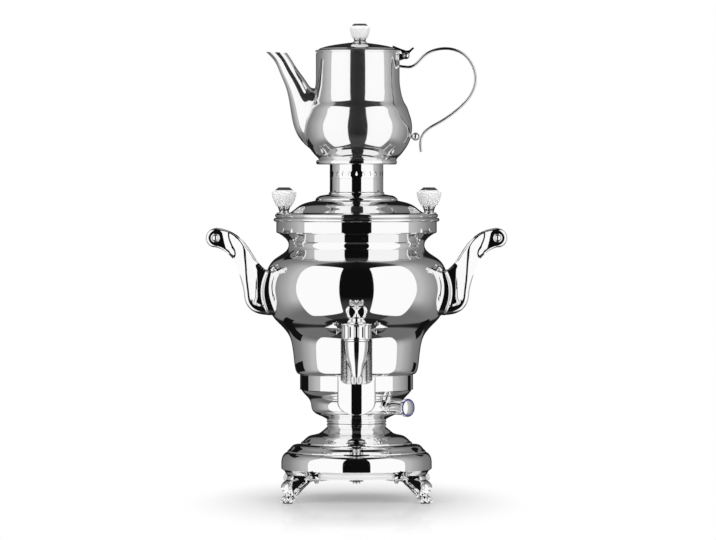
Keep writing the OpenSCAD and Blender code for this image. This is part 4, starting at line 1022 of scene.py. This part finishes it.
hinge = (52.7, pot_rim - 3.1)
bracket_outline = ([(pot_neck_r - 0.6, pot_rim - 8), (pot_neck_r + 2, pot_rim - 8),
    (hinge[0] - 1.6, pot_rim - 6.4)] + arc(hinge[0], hinge[1], 3.8, -80, 150, 18)
    + [(pot_neck_r + 2.4, pot_rim - 0.8), (pot_neck_r - 0.6, pot_rim - 0.8)])
for front, back, label in ((-5, -3, "front"), (3, 5, "back")):
    ear = flat_piece("hinge_ear_" + label, bracket_outline, front, back, cast_chrome, 0.8)
    belongs(ear, *(["hinge_bracket"] if label == "front" else []), body="pot")
lever_outline = ([(38, pot_rim + 8.2), (38, pot_rim + 5), (46.4, pot_rim + 2.6),
    (hinge[0] - 3.6, hinge[1] + 1.2)] + arc(hinge[0], hinge[1], 3.8, 160, 390, 18)
    + [(57.4, pot_rim + 1), (61.4, pot_rim + 4.9), (60.2, pot_rim + 6.4), (56, pot_rim + 3.0),
    (hinge[0], pot_rim + 2.6), (46.8, pot_rim + 4.6)])
lever = flat_piece("thumb_piece", lever_outline, -2.7, 2.7, cast_chrome, 1.5)
belongs(lever, "thumb_lever", body="pot_lid")
shape = bmesh.new()
pin_head = [(0, 5.05), (3.5, 5.05), (3.5, 5.3)] + arc(0, 5.3, 3.4, 8, 30, 3) + arc(0, 2.1, 5.4, 62, 90, 5)[1:]
for turn in (90, -90):
    spun(shape, pin_head, 40, pot_place @ Matrix.Translation((hinge[0], 0, hinge[1])) @ tipped(turn, "X"))
belongs(from_bmesh("hinge_pin_heads", shape, cast_chrome), body="pot_lid")

# ---- Side handles ----------------------------------------------------------------------------
# Each handle is two cast and chromed arms on a saddle plate that is bolted through the belly. The
# grip bar between them ends in studs, and a dome nut on each stud draws the arms against the bar.

def inside(points, polygon):
    """Which of the points lie inside a closed polygon."""
    a, b = np.array(polygon, float), np.roll(polygon, -1, axis=0)
    x, y = points[:, None, 0], points[:, None, 1]
    spans = (a[None, :, 1] > y) != (b[None, :, 1] > y)
    rise = np.where(b[:, 1] == a[:, 1], 1e-9, b[:, 1] - a[:, 1])
    left = x < (b[:, 0] - a[:, 0]) * (y - a[:, 1]) / rise + a[:, 0]
    return (spans & left).sum(axis=1) % 2 == 1


def nearest(points, path, closed=True):
    """Distance from each point to a path, and the point of the path that is nearest."""
    path = np.array(path, float)
    a = path if closed else path[:-1]
    b = np.roll(path, -1, axis=0) if closed else path[1:]
    run = b - a
    t = ((points[:, None] - a) * run).sum(axis=2) / np.maximum((run ** 2).sum(axis=1), 1e-12)
    spots = a + np.clip(t, 0, 1)[:, :, None] * run
    gaps = np.linalg.norm(points[:, None] - spots, axis=2)
    best = gaps.argmin(axis=1)
    rows = np.arange(len(points))
    return gaps[rows, best], spots[rows, best]


def casting(name, outline, step, face, material, smoothing=2):
    """A solid over a flat outline. face(points, way) gives the places in space that points of the flat
    outline take: on the solid's front for way -1 and on its back for way 1."""
    outline = np.array(outline, float)
    low = outline.min(axis=0) - step
    counts = np.ceil((outline.max(axis=0) + step - low) / step).astype(int)
    grid = np.stack(np.meshgrid(low[0] + step * np.arange(counts[0] + 1),
        low[1] + step * np.arange(counts[1] + 1), indexing="ij"), axis=2)
    centres = ((grid[:-1, :-1] + grid[1:, 1:]) / 2).reshape(-1, 2)
    cells = np.flatnonzero(inside(centres, outline))
    i, j = cells // counts[1], cells % counts[1]
    corner = i * (counts[1] + 1) + j
    quads = np.stack([corner, corner + counts[1] + 1, corner + counts[1] + 2, corner + 1], axis=1)
    used, faces = np.unique(quads, return_inverse=True)
    faces = faces.reshape(-1, 4)
    points = grid.reshape(-1, 2)[used]
    sides = np.concatenate([np.stack([faces[:, k], faces[:, (k + 1) % 4]], axis=1) for k in range(4)])
    keys = {tuple(side) for side in sides.tolist()}
    rim = [side for side in keys if (side[1], side[0]) not in keys]
    edge = sorted({v for side in rim for v in side})
    points[edge] = nearest(points[edge], outline)[1]
    links = np.array(sorted({(min(s), max(s)) for s in keys}))
    inner = np.ones(len(points), bool)
    inner[edge] = False

    def even_out(values, share):
        """Moves the values of all points but the rim's towards the mean of their neighbours."""
        total = np.zeros_like(values)
        count = np.zeros(len(values))
        for p, q in ((0, 1), (1, 0)):
            np.add.at(total, links[:, p], values[links[:, q]])
            np.add.at(count, links[:, p], 1)
        values[inner] = ((1 - share) * values + share * total / count[:, None])[inner]

    for _ in range(3):
        even_out(points, 1)
    places = [face(points, way) for way in (-1, 1)]
    for _ in range(smoothing):
        even_out(places[0], 0.5)
        even_out(places[1], 0.5)
    shape = bmesh.new()
    fronts = [shape.verts.new(p) for p in places[0]]
    backs = [shape.verts.new(p) for p in places[1]]
    for quad in faces.tolist():
        shape.faces.new([fronts[v] for v in quad])
        shape.faces.new([backs[v] for v in quad[::-1]])
    for a, b in rim:
        shape.faces.new((fronts[b], fronts[a], backs[a], backs[b]))
    return from_bmesh(name, shape, material)


grip_reach, grip_z, grip_r = 153, 285, 8
arm_y, arm_half = 26, 4.5
boss_r, boss_outer_r = 8.2, 10.4
arm_outline = (flow([(95, 247), (100.2, 250), (107.4, 257.2), (113, 265.6), (118.5, 274.2), (124.5, 281.6),
    (131.6, 287.8), (140.3, 292.4), (147.4, 294.6)], 4) + arc(grip_reach, grip_z, boss_outer_r, 105, -75,
    22) + flow([(151.4, 274.6), (145.6, 272.2), (138.2, 266.8), (132, 258.5), (128.3, 249), (125, 238),
    (122.4, 227), (121.2, 217.7), (117.6, 210.3), (111.5, 204.9), (103, 202), (94, 201.2)], 5))
# The ridge runs down the arm and round its foot; the web beside the saddle plate is sunk and flat
ridge = flow([(129, 287), (124, 279), (122.1, 271.9), (121.4, 261), (120.9, 252), (120.4, 244),
    (119.4, 234), (118.4, 226), (117.4, 218), (114.6, 211.8), (110, 208), (103, 205.8), (94, 205)], 3)
beyond_ridge = ridge + [(94, 190), (175, 190), (175, 300), (129, 300)]
web = [(107.4, 253), (108.4, 246), (108.3, 230), (108.6, 220), (110.4, 214.4), (105, 211.6), (94, 210.6),
    (94, 250), (102, 251)]
boss_face = arc(grip_reach, grip_z, boss_r, 150, -66, 25) + [(150.4, 275.2), (145.8, 273.2), (141.6, 270.8),
    (138.4, 268.4), (142, 272.6), (144, 280)]


def arm_height(points):
    """Half the arm's thickness: slopes away from the ridge, a flat boss face and the sunk web."""
    from_edge = nearest(points, arm_outline)[0]
    from_ridge = nearest(points, ridge, closed=False)[0]
    from_boss = np.where(inside(points, boss_face), 0, nearest(points, boss_face)[0])
    outer = inside(points, beyond_ridge)
    wide_part = np.clip((points[:, 1] - 256) / 8, 0, 1)
    steep, gentle = 0.52, 0.27
    fall = np.where(outer, steep - 0.27 * wide_part, gentle)
    flank = np.where(from_edge < 2.2, 0.42, 0.36)
    height = np.maximum(arm_half - 0.2 - fall * from_ridge,
        np.where(points[:, 0] > 128, arm_half - 0.1 - flank * from_boss, 0))
    height = np.maximum(height, 0.8) - 0.9 * np.maximum(1 - from_edge / 0.9, 0) ** 2
    return np.where(inside(points, web), 0.6, np.maximum(height, 0.5))


for side, label in left_and_right:
    for depth, end in ((-arm_y, "front"), (arm_y, "back")):
        def arm_face(points, way):
            return np.stack([side * points[:, 0], depth + way * arm_height(points), points[:, 1]], axis=1)
        arm = casting(f"cast_arm_{label}_{end}", arm_outline, 0.7, arm_face, cast_chrome, smoothing=4)
        belongs(arm, *(["handle_arms_" + label] if end == "front" else []))

# The saddle plates, whose outer face is an arc over the belly
saddle_z, saddle_reach, saddle_bulge = 226.5, 107.2, 95
saddle_outline = eased([(-34, 201), (34, 201), (34, 250.5), (-34, 250.5)], 8.5, 8)
for side, label in left_and_right:
    def saddle_face(points, way):
        y, z = points.T
        rounding = 1.6 * np.maximum(1 - nearest(points, saddle_outline)[0] / 1.8, 0) ** 2
        reach = saddle_reach - (z - saddle_z) ** 2 / saddle_bulge - rounding
        if way > 0:
            reach = radius_at(vessel_outline, z) - 0.3
        return np.stack([side * np.sqrt(reach ** 2 - y ** 2), y, z], axis=1)
    saddle = casting("saddle_" + label, saddle_outline, 1.1, saddle_face, mirror_steel, smoothing=1)
    belongs(saddle, "handle_plate_" + label)

along_y = tipped(90, "X")
bar_half = arm_y - arm_half + 2.6
for side, label in left_and_right:
    grip = turned("grip_bar_" + label, eased([(0, -bar_half, 0), (grip_r, -bar_half), (grip_r, bar_half),
        (0, bar_half, 0)], 0.8), place=Matrix.Translation((side * grip_reach, 0, grip_z)) @ along_y,
        sides=64)
    belongs(grip, "handle_grip_" + label)

shape = bmesh.new()
nut_outline = ([(0, arm_half - 1), (4.9, arm_half - 1), (4.9, arm_half + 0.6), (4.4, arm_half + 0.9)]
    + arc(0, arm_half + 0.9, 4.3, 4, 86, 10) + [(0, arm_half + 5.2)])
for side in (-1, 1):
    for end in (-1, 1):
        spun(shape, nut_outline, 40, Matrix.Translation((side * grip_reach, end * arm_y, grip_z))
            @ tipped(-90 * end, "X"))
dome_nuts = from_bmesh("dome_nuts", shape, mirror_steel)
belongs(dome_nuts, "handle_cap_nuts")

# ---- Tap -------------------------------------------------------------------------------------
# The tap is cast and chromed brass: a fluted barrel with a waterway through it, screwed through the
# belly over a leaf-shaped plate. A half-round hood hides the tapered nozzle, and the key turns the plug.

tap_reach, tap_z = 112, 186
barrel_r, barrel_low, barrel_high = 15.9, tap_z - 8, tap_z + 8
plug_r = 8.02
outlet_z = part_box("tap_nozzle")[0].z / mm
at_tap = Matrix.Translation((0, -tap_reach, 0))
out_to_tap = Matrix.Translation((0, 0, tap_z)) @ tipped(90, "X")


def fluted(name, radius, bore, low, high, count, depth, material, columns=8, rows=12):
    """A fluted ring: one flute's wedge, repeated round the axis."""
    half = math.pi / count
    shape = bmesh.new()
    heights = np.linspace(low + 0.5, high - 0.5, rows + 1)
    lines = []
    for a in np.linspace(-half, half, columns + 1):
        across = 1 - (a / half) ** 2
        reach = [min(1, 1.6 * min(z - low - 0.5, high - 0.5 - z) / (0.18 * (high - low))) for z in heights]
        outside = [(radius - depth * across * math.sqrt(max(e, 0)), z) for e, z in zip(reach, heights)]
        profile = [(bore, low), (radius - 0.6, low)] + outside + [(radius - 0.6, high), (bore, high)]
        lines.append([shape.verts.new((r * math.sin(a), -r * math.cos(a), z)) for r, z in profile])
    for left, right in zip(lines, lines[1:]):
        for i in range(len(left)):
            j = (i + 1) % len(left)
            shape.faces.new((left[i], right[i], right[j], left[j]))
    piece = copies_round(from_bmesh(name, shape, material, corner=40), count, material, seam=0.00001)
    piece.data.transform(Matrix.Translation((0, -tap_reach * mm, 0)))
    return piece


barrel = fluted("tap_barrel", barrel_r, plug_r, barrel_low, barrel_high, 18, 0.9, cast_chrome)
belongs(barrel, "tap_body")
tap_neck = turned("tap_neck", [(4, 58), (6, 58), (6, 92.5), (8.8, 92.8), (9, 93.4), (9, 95), (7.6, 96),
    (7.6, 105), (4, 105)], cast_chrome, 48, out_to_tap)
belongs(tap_neck)
cap_top = barrel_high + 0.7
barrel_cap = turned("barrel_cap", eased([(plug_r, barrel_high - 1), (13.4, barrel_high - 1),
    (13.4, barrel_high + 0.2), (12.6, cap_top), (9.95, cap_top), (9.95, barrel_high - 0.2),
    (plug_r, barrel_high - 0.2)], 0.2), cast_chrome, 64, at_tap)
belongs(barrel_cap)

nozzle = turned("nozzle_cone", [(5, barrel_low)] + eased([(5, barrel_low, 0), (14, barrel_low, 0.4),
    (14, barrel_low - 1.6, 0.5), (13.1, barrel_low - 2.4, 0.3), (13.1, barrel_low - 3, 0)], 0.3)[:-1]
    + flow([(13.1, barrel_low - 3), (13.0, barrel_low - 9), (12.1, barrel_low - 16),
    (10.6, barrel_low - 23), (8.3, barrel_low - 30), (6.2, outlet_z + 9.6)], 6)
    + [(5.9, outlet_z + 8.8), (5, outlet_z + 8.8)], cast_chrome, 96, at_tap)
belongs(nozzle, "tap_nozzle")
collar = fluted("nozzle_collar", 6.5, 5, outlet_z, outlet_z + 8.8, 20, 0.45, cast_chrome, columns=6, rows=6)
belongs(collar)

hood_half = barrel_r + 0.9
hood_corner = 7.5


def hood_low(x):
    """Height of the hood's lower edge, which rises at its rounded corners."""
    over = max(abs(x) - (hood_half - hood_corner), 0)
    return outlet_z + hood_corner - math.sqrt(max(hood_corner ** 2 - over ** 2, 0))


shape = bmesh.new()
columns, rows = 56, 20
rings = []
for a in np.radians(np.linspace(-97, 97, columns + 1)):
    x = hood_half * math.sin(a)
    ends = hood_low(x) if abs(a) < math.pi / 2 else outlet_z + hood_corner
    heights = np.linspace(ends, barrel_low, rows + 1)
    section = ([(hood_half - 0.4 * (1 - min((z - ends) / 0.8, 1)), z) for z in heights]
        + [(hood_half - 1.5, z) for z in heights[::-1]])
    rings.append([shape.verts.new((r * math.sin(a), r * math.cos(a), z)) for r, z in section])
skinned(shape, rings)
satin_chrome = metal("satin_chrome", (0.95, 0.95, 0.955), haze=0.14, veil=0.3)
hood = from_bmesh("half_round_hood", shape, satin_chrome, place=at_tap)
belongs(hood, "tap_hood")
wire_r = 0.85
wire = bpy.data.curves.new("hood_bead", "CURVE")
wire.dimensions = "3D"
wire.bevel_depth = wire_r * mm
wire.bevel_resolution = 4
wire.use_fill_caps = True
bead_r = hood_half - 0.75
edge = [(x, y, hood_low(x)) for y, x in arc(0, 0, bead_r, -90, 90, 60)]
edge = [(-bead_r, 0.12 * bead_r, barrel_low)] + edge + [(bead_r, 0.12 * bead_r, barrel_low)]
line = wire.splines.new("POLY")
line.points.add(len(edge) - 1)
for point, (x, y, z) in zip(line.points, edge):
    point.co = (x * mm, (y - tap_reach) * mm, z * mm, 1)
hood_bead = made_plain(new_object("hood_bead", wire))
hood_bead.data.shade_smooth()
hood_bead.data.materials.append(cast_chrome)
belongs(hood_bead)

leaf_half = [(0, 8.6), (15, 6.5), (19.5, 7.4), (22.4, 10.0), (24.2, 6.8), (28, 5.4), (34, 2.9), (29.5, 0.6),
    (25, -1.0), (21.4, -4.4), (19.4, -2.4), (15, -6.5), (0, -9.6)]
leaf_outline = [(x, tap_z + z) for x, z in leaf_half + [(-x, z) for x, z in leaf_half[-2:0:-1]]]


def leaf_face(points, way):
    x, z = points.T
    lift = -0.2
    if way < 0:
        vein = np.exp(-(np.abs(z - tap_z - 2.2) / 0.8) ** 2)
        lift = 0.9 + 0.62 * nearest(points, leaf_outline)[0] + 0.35 * vein
    reach = radius_at(vessel_outline, z) + lift
    return np.stack([x, -np.sqrt(reach ** 2 - x ** 2), z], axis=1)


leaf = casting("leaf_plate", leaf_outline, 0.55, leaf_face, cast_chrome)
belongs(leaf, "tap_escutcheon")
seat = turned("tap_seat", eased([(6, 72, 0), (11, 72, 0), (11, 89.4), (9.8, 92.4), (6, 92.4, 0)], 0.8),
    cast_chrome, 64, out_to_tap)
belongs(seat)

# The key: a tapered stem with two dished wings
key_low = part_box("tap_key")[0].z / mm
stem = turned("key_stem", [(0, key_low), (9.52, key_low), (9.52, barrel_high + 0.2),
    (9.85, barrel_high + 0.2)] + eased([(9.85, barrel_high + 0.2, 0), (9.85, key_low + 0.3, 0.3),
    (5.9, key_low + 0.8), (5.7, key_low + 4.2), (4.2, key_low + 5.8), (2.0, key_low + 10.4),
    (0, key_low + 10.8, 0)], 0.5), cast_chrome, 64, at_tap)
belongs(stem, "tap_key", body="tap_plug_and_key")
wing = flow([(-1.2, 4.4), (3.0, 4.2), (7.4, 4.8), (9.6, 7.4), (10.3, 11.0), (9.9, 15.2), (8.2, 17.5),
    (5.0, 17.9), (2.2, 17.0), (0.4, 15.2), (-1.2, 14.6)], 5)
for side, label in left_and_right:
    def wing_face(points, way):
        rim_swell = np.exp(-((nearest(points, wing)[0] - 0.9) / 0.55) ** 2)
        thick = 1.2 + 0.8 * rim_swell + 0.5 * np.exp(-(points[:, 0] / 2.5) ** 2)
        return np.stack([side * points[:, 0], -tap_reach + way * thick, key_low + points[:, 1]], axis=1)
    key_wing = casting("key_wing_" + label, wing, 0.45, wing_face, cast_chrome)
    belongs(key_wing, body="tap_plug_and_key")

# ---- Control knob ----------------------------------------------------------------------------
# The knob is turned from steel bar and polished, with a ring of blue plastic pressed into its face. It
# turns on a flange that is screwed to the housing, and its spindle sets the thermostat.

knob_z, knob_reach, knob_turn = 102, 79, -45
knob_place = Matrix.Translation((0, 0, knob_z)) @ tipped(knob_turn, "Z") @ tipped(90, "Y")
boss = turned("knob_flange", [(3.3, 44)] + eased([(3.3, 44, 0), (8.6, 44), (8.6, 52), (7.2, 52.4),
    (7.2, 56), (3.3, 56, 0)], 0.5), cast_chrome, 64, knob_place)
belongs(boss, "knob_boss")
knob = turned("control_dial", [(0, 56.5)] + eased([(0, 56.5, 0), (7.4, 56.5), (8, 57.6),
    (8, knob_reach - 5.4, 1), (9.8, knob_reach - 3.8, 0.8), (9.9, knob_reach - 0.6, 0.6),
    (9.5, knob_reach, 0.2), (7.9, knob_reach, 0.1)], 0.4)[:-1]
    + arc(0, knob_reach - 21.5, 23, 70, 90, 10)[1:], mirror_steel, 80, knob_place)
belongs(knob, "control_knob", body="temperature_knob")
ring_plastic, tree = new_material("blue_ring_plastic")
deep = either(tree, noise(tree, 300.0), (0.012, 0.010, 0.16, 1), (0.022, 0.020, 0.24, 1))
finish_material(tree, node(tree, "ShaderNodeBsdfPrincipled",
    inputs={"Base Color": deep, "Roughness": 0.28, "Coat Weight": 0.6, "Coat Roughness": 0.06}))
dial_ring = turned("dial_ring", eased([(7.9, knob_reach - 0.5), (9.6, knob_reach - 0.5),
    (9.55, knob_reach + 0.35), (8.1, knob_reach + 0.45)], 0.25), ring_plastic, 80, knob_place)
belongs(dial_ring, "knob_ring", body="temperature_knob", slot="blue_plastic")

# ---- Heater, leads, switches, fasteners and pads -------------------------------------------------
# Bought-in parts keep the shapes of the construction: zinc-plated nuts and studs, sheet steel plates, a
# pressed aluminium heater, moulded plastic, silicone leads, glazed ceramic and soft rubber pads.

def moulded(name, dark, light, roughness, speckle, dents, coat=0.0):
    """A moulded or glazed surface: cloudy in colour, with a fine grain of dents."""
    made, tree = new_material(name)
    grain = noise(tree, speckle * 12)
    colour = either(tree, ease(tree, noise(tree, speckle, 3.0), 0.3, 0.7), (*dark, 1), (*light, 1))
    rough = ease(tree, grain, 0.3, 0.7, roughness * 0.85, min(roughness * 1.15, 1.0))
    bump = node(tree, "ShaderNodeBump", inputs={"Height": grain, "Distance": 0.0001, "Strength": dents})
    skin = node(tree, "ShaderNodeBsdfPrincipled", inputs={"Base Color": colour, "Roughness": rough,
        "Coat Weight": coat, "Coat Roughness": 0.05, "Normal": bump.outputs[0]})
    finish_material(tree, skin)
    return made


by_slot = {
    "polished_steel": mirror_steel,
    "plain_steel": rolled_steel,
    "fastener_steel": plated_steel,
    "brass": turned_brass,
    "heater_aluminium": metal("pressed_aluminium", (0.74, 0.74, 0.75), haze=0.34, lines=0.5),
    "pad_rubber": moulded("pad_rubber", (0.10, 0.10, 0.10), (0.15, 0.15, 0.15), 0.75, 240, 0.5),
    "black_plastic": moulded("black_plastic", (0.012, 0.012, 0.013), (0.020, 0.020, 0.021), 0.42, 400, 0.3),
    "white_ceramic": moulded("glazed_ceramic", (0.80, 0.79, 0.75), (0.88, 0.87, 0.84), 0.3, 180, 0.1, 0.7),
    "lead_insulation": moulded("silicone_rubber", (0.42, 0.09, 0.05), (0.50, 0.12, 0.07), 0.5, 300, 0.2),
}
slot_of = {row["node"]: row["material_slot"] for row in frame["record"]["subparts"]}
for name, thing in frame["nodes"].items():
    if thing.hide_render:
        continue
    thing.data.materials.clear()
    thing.data.materials.append(by_slot[slot_of[name]])
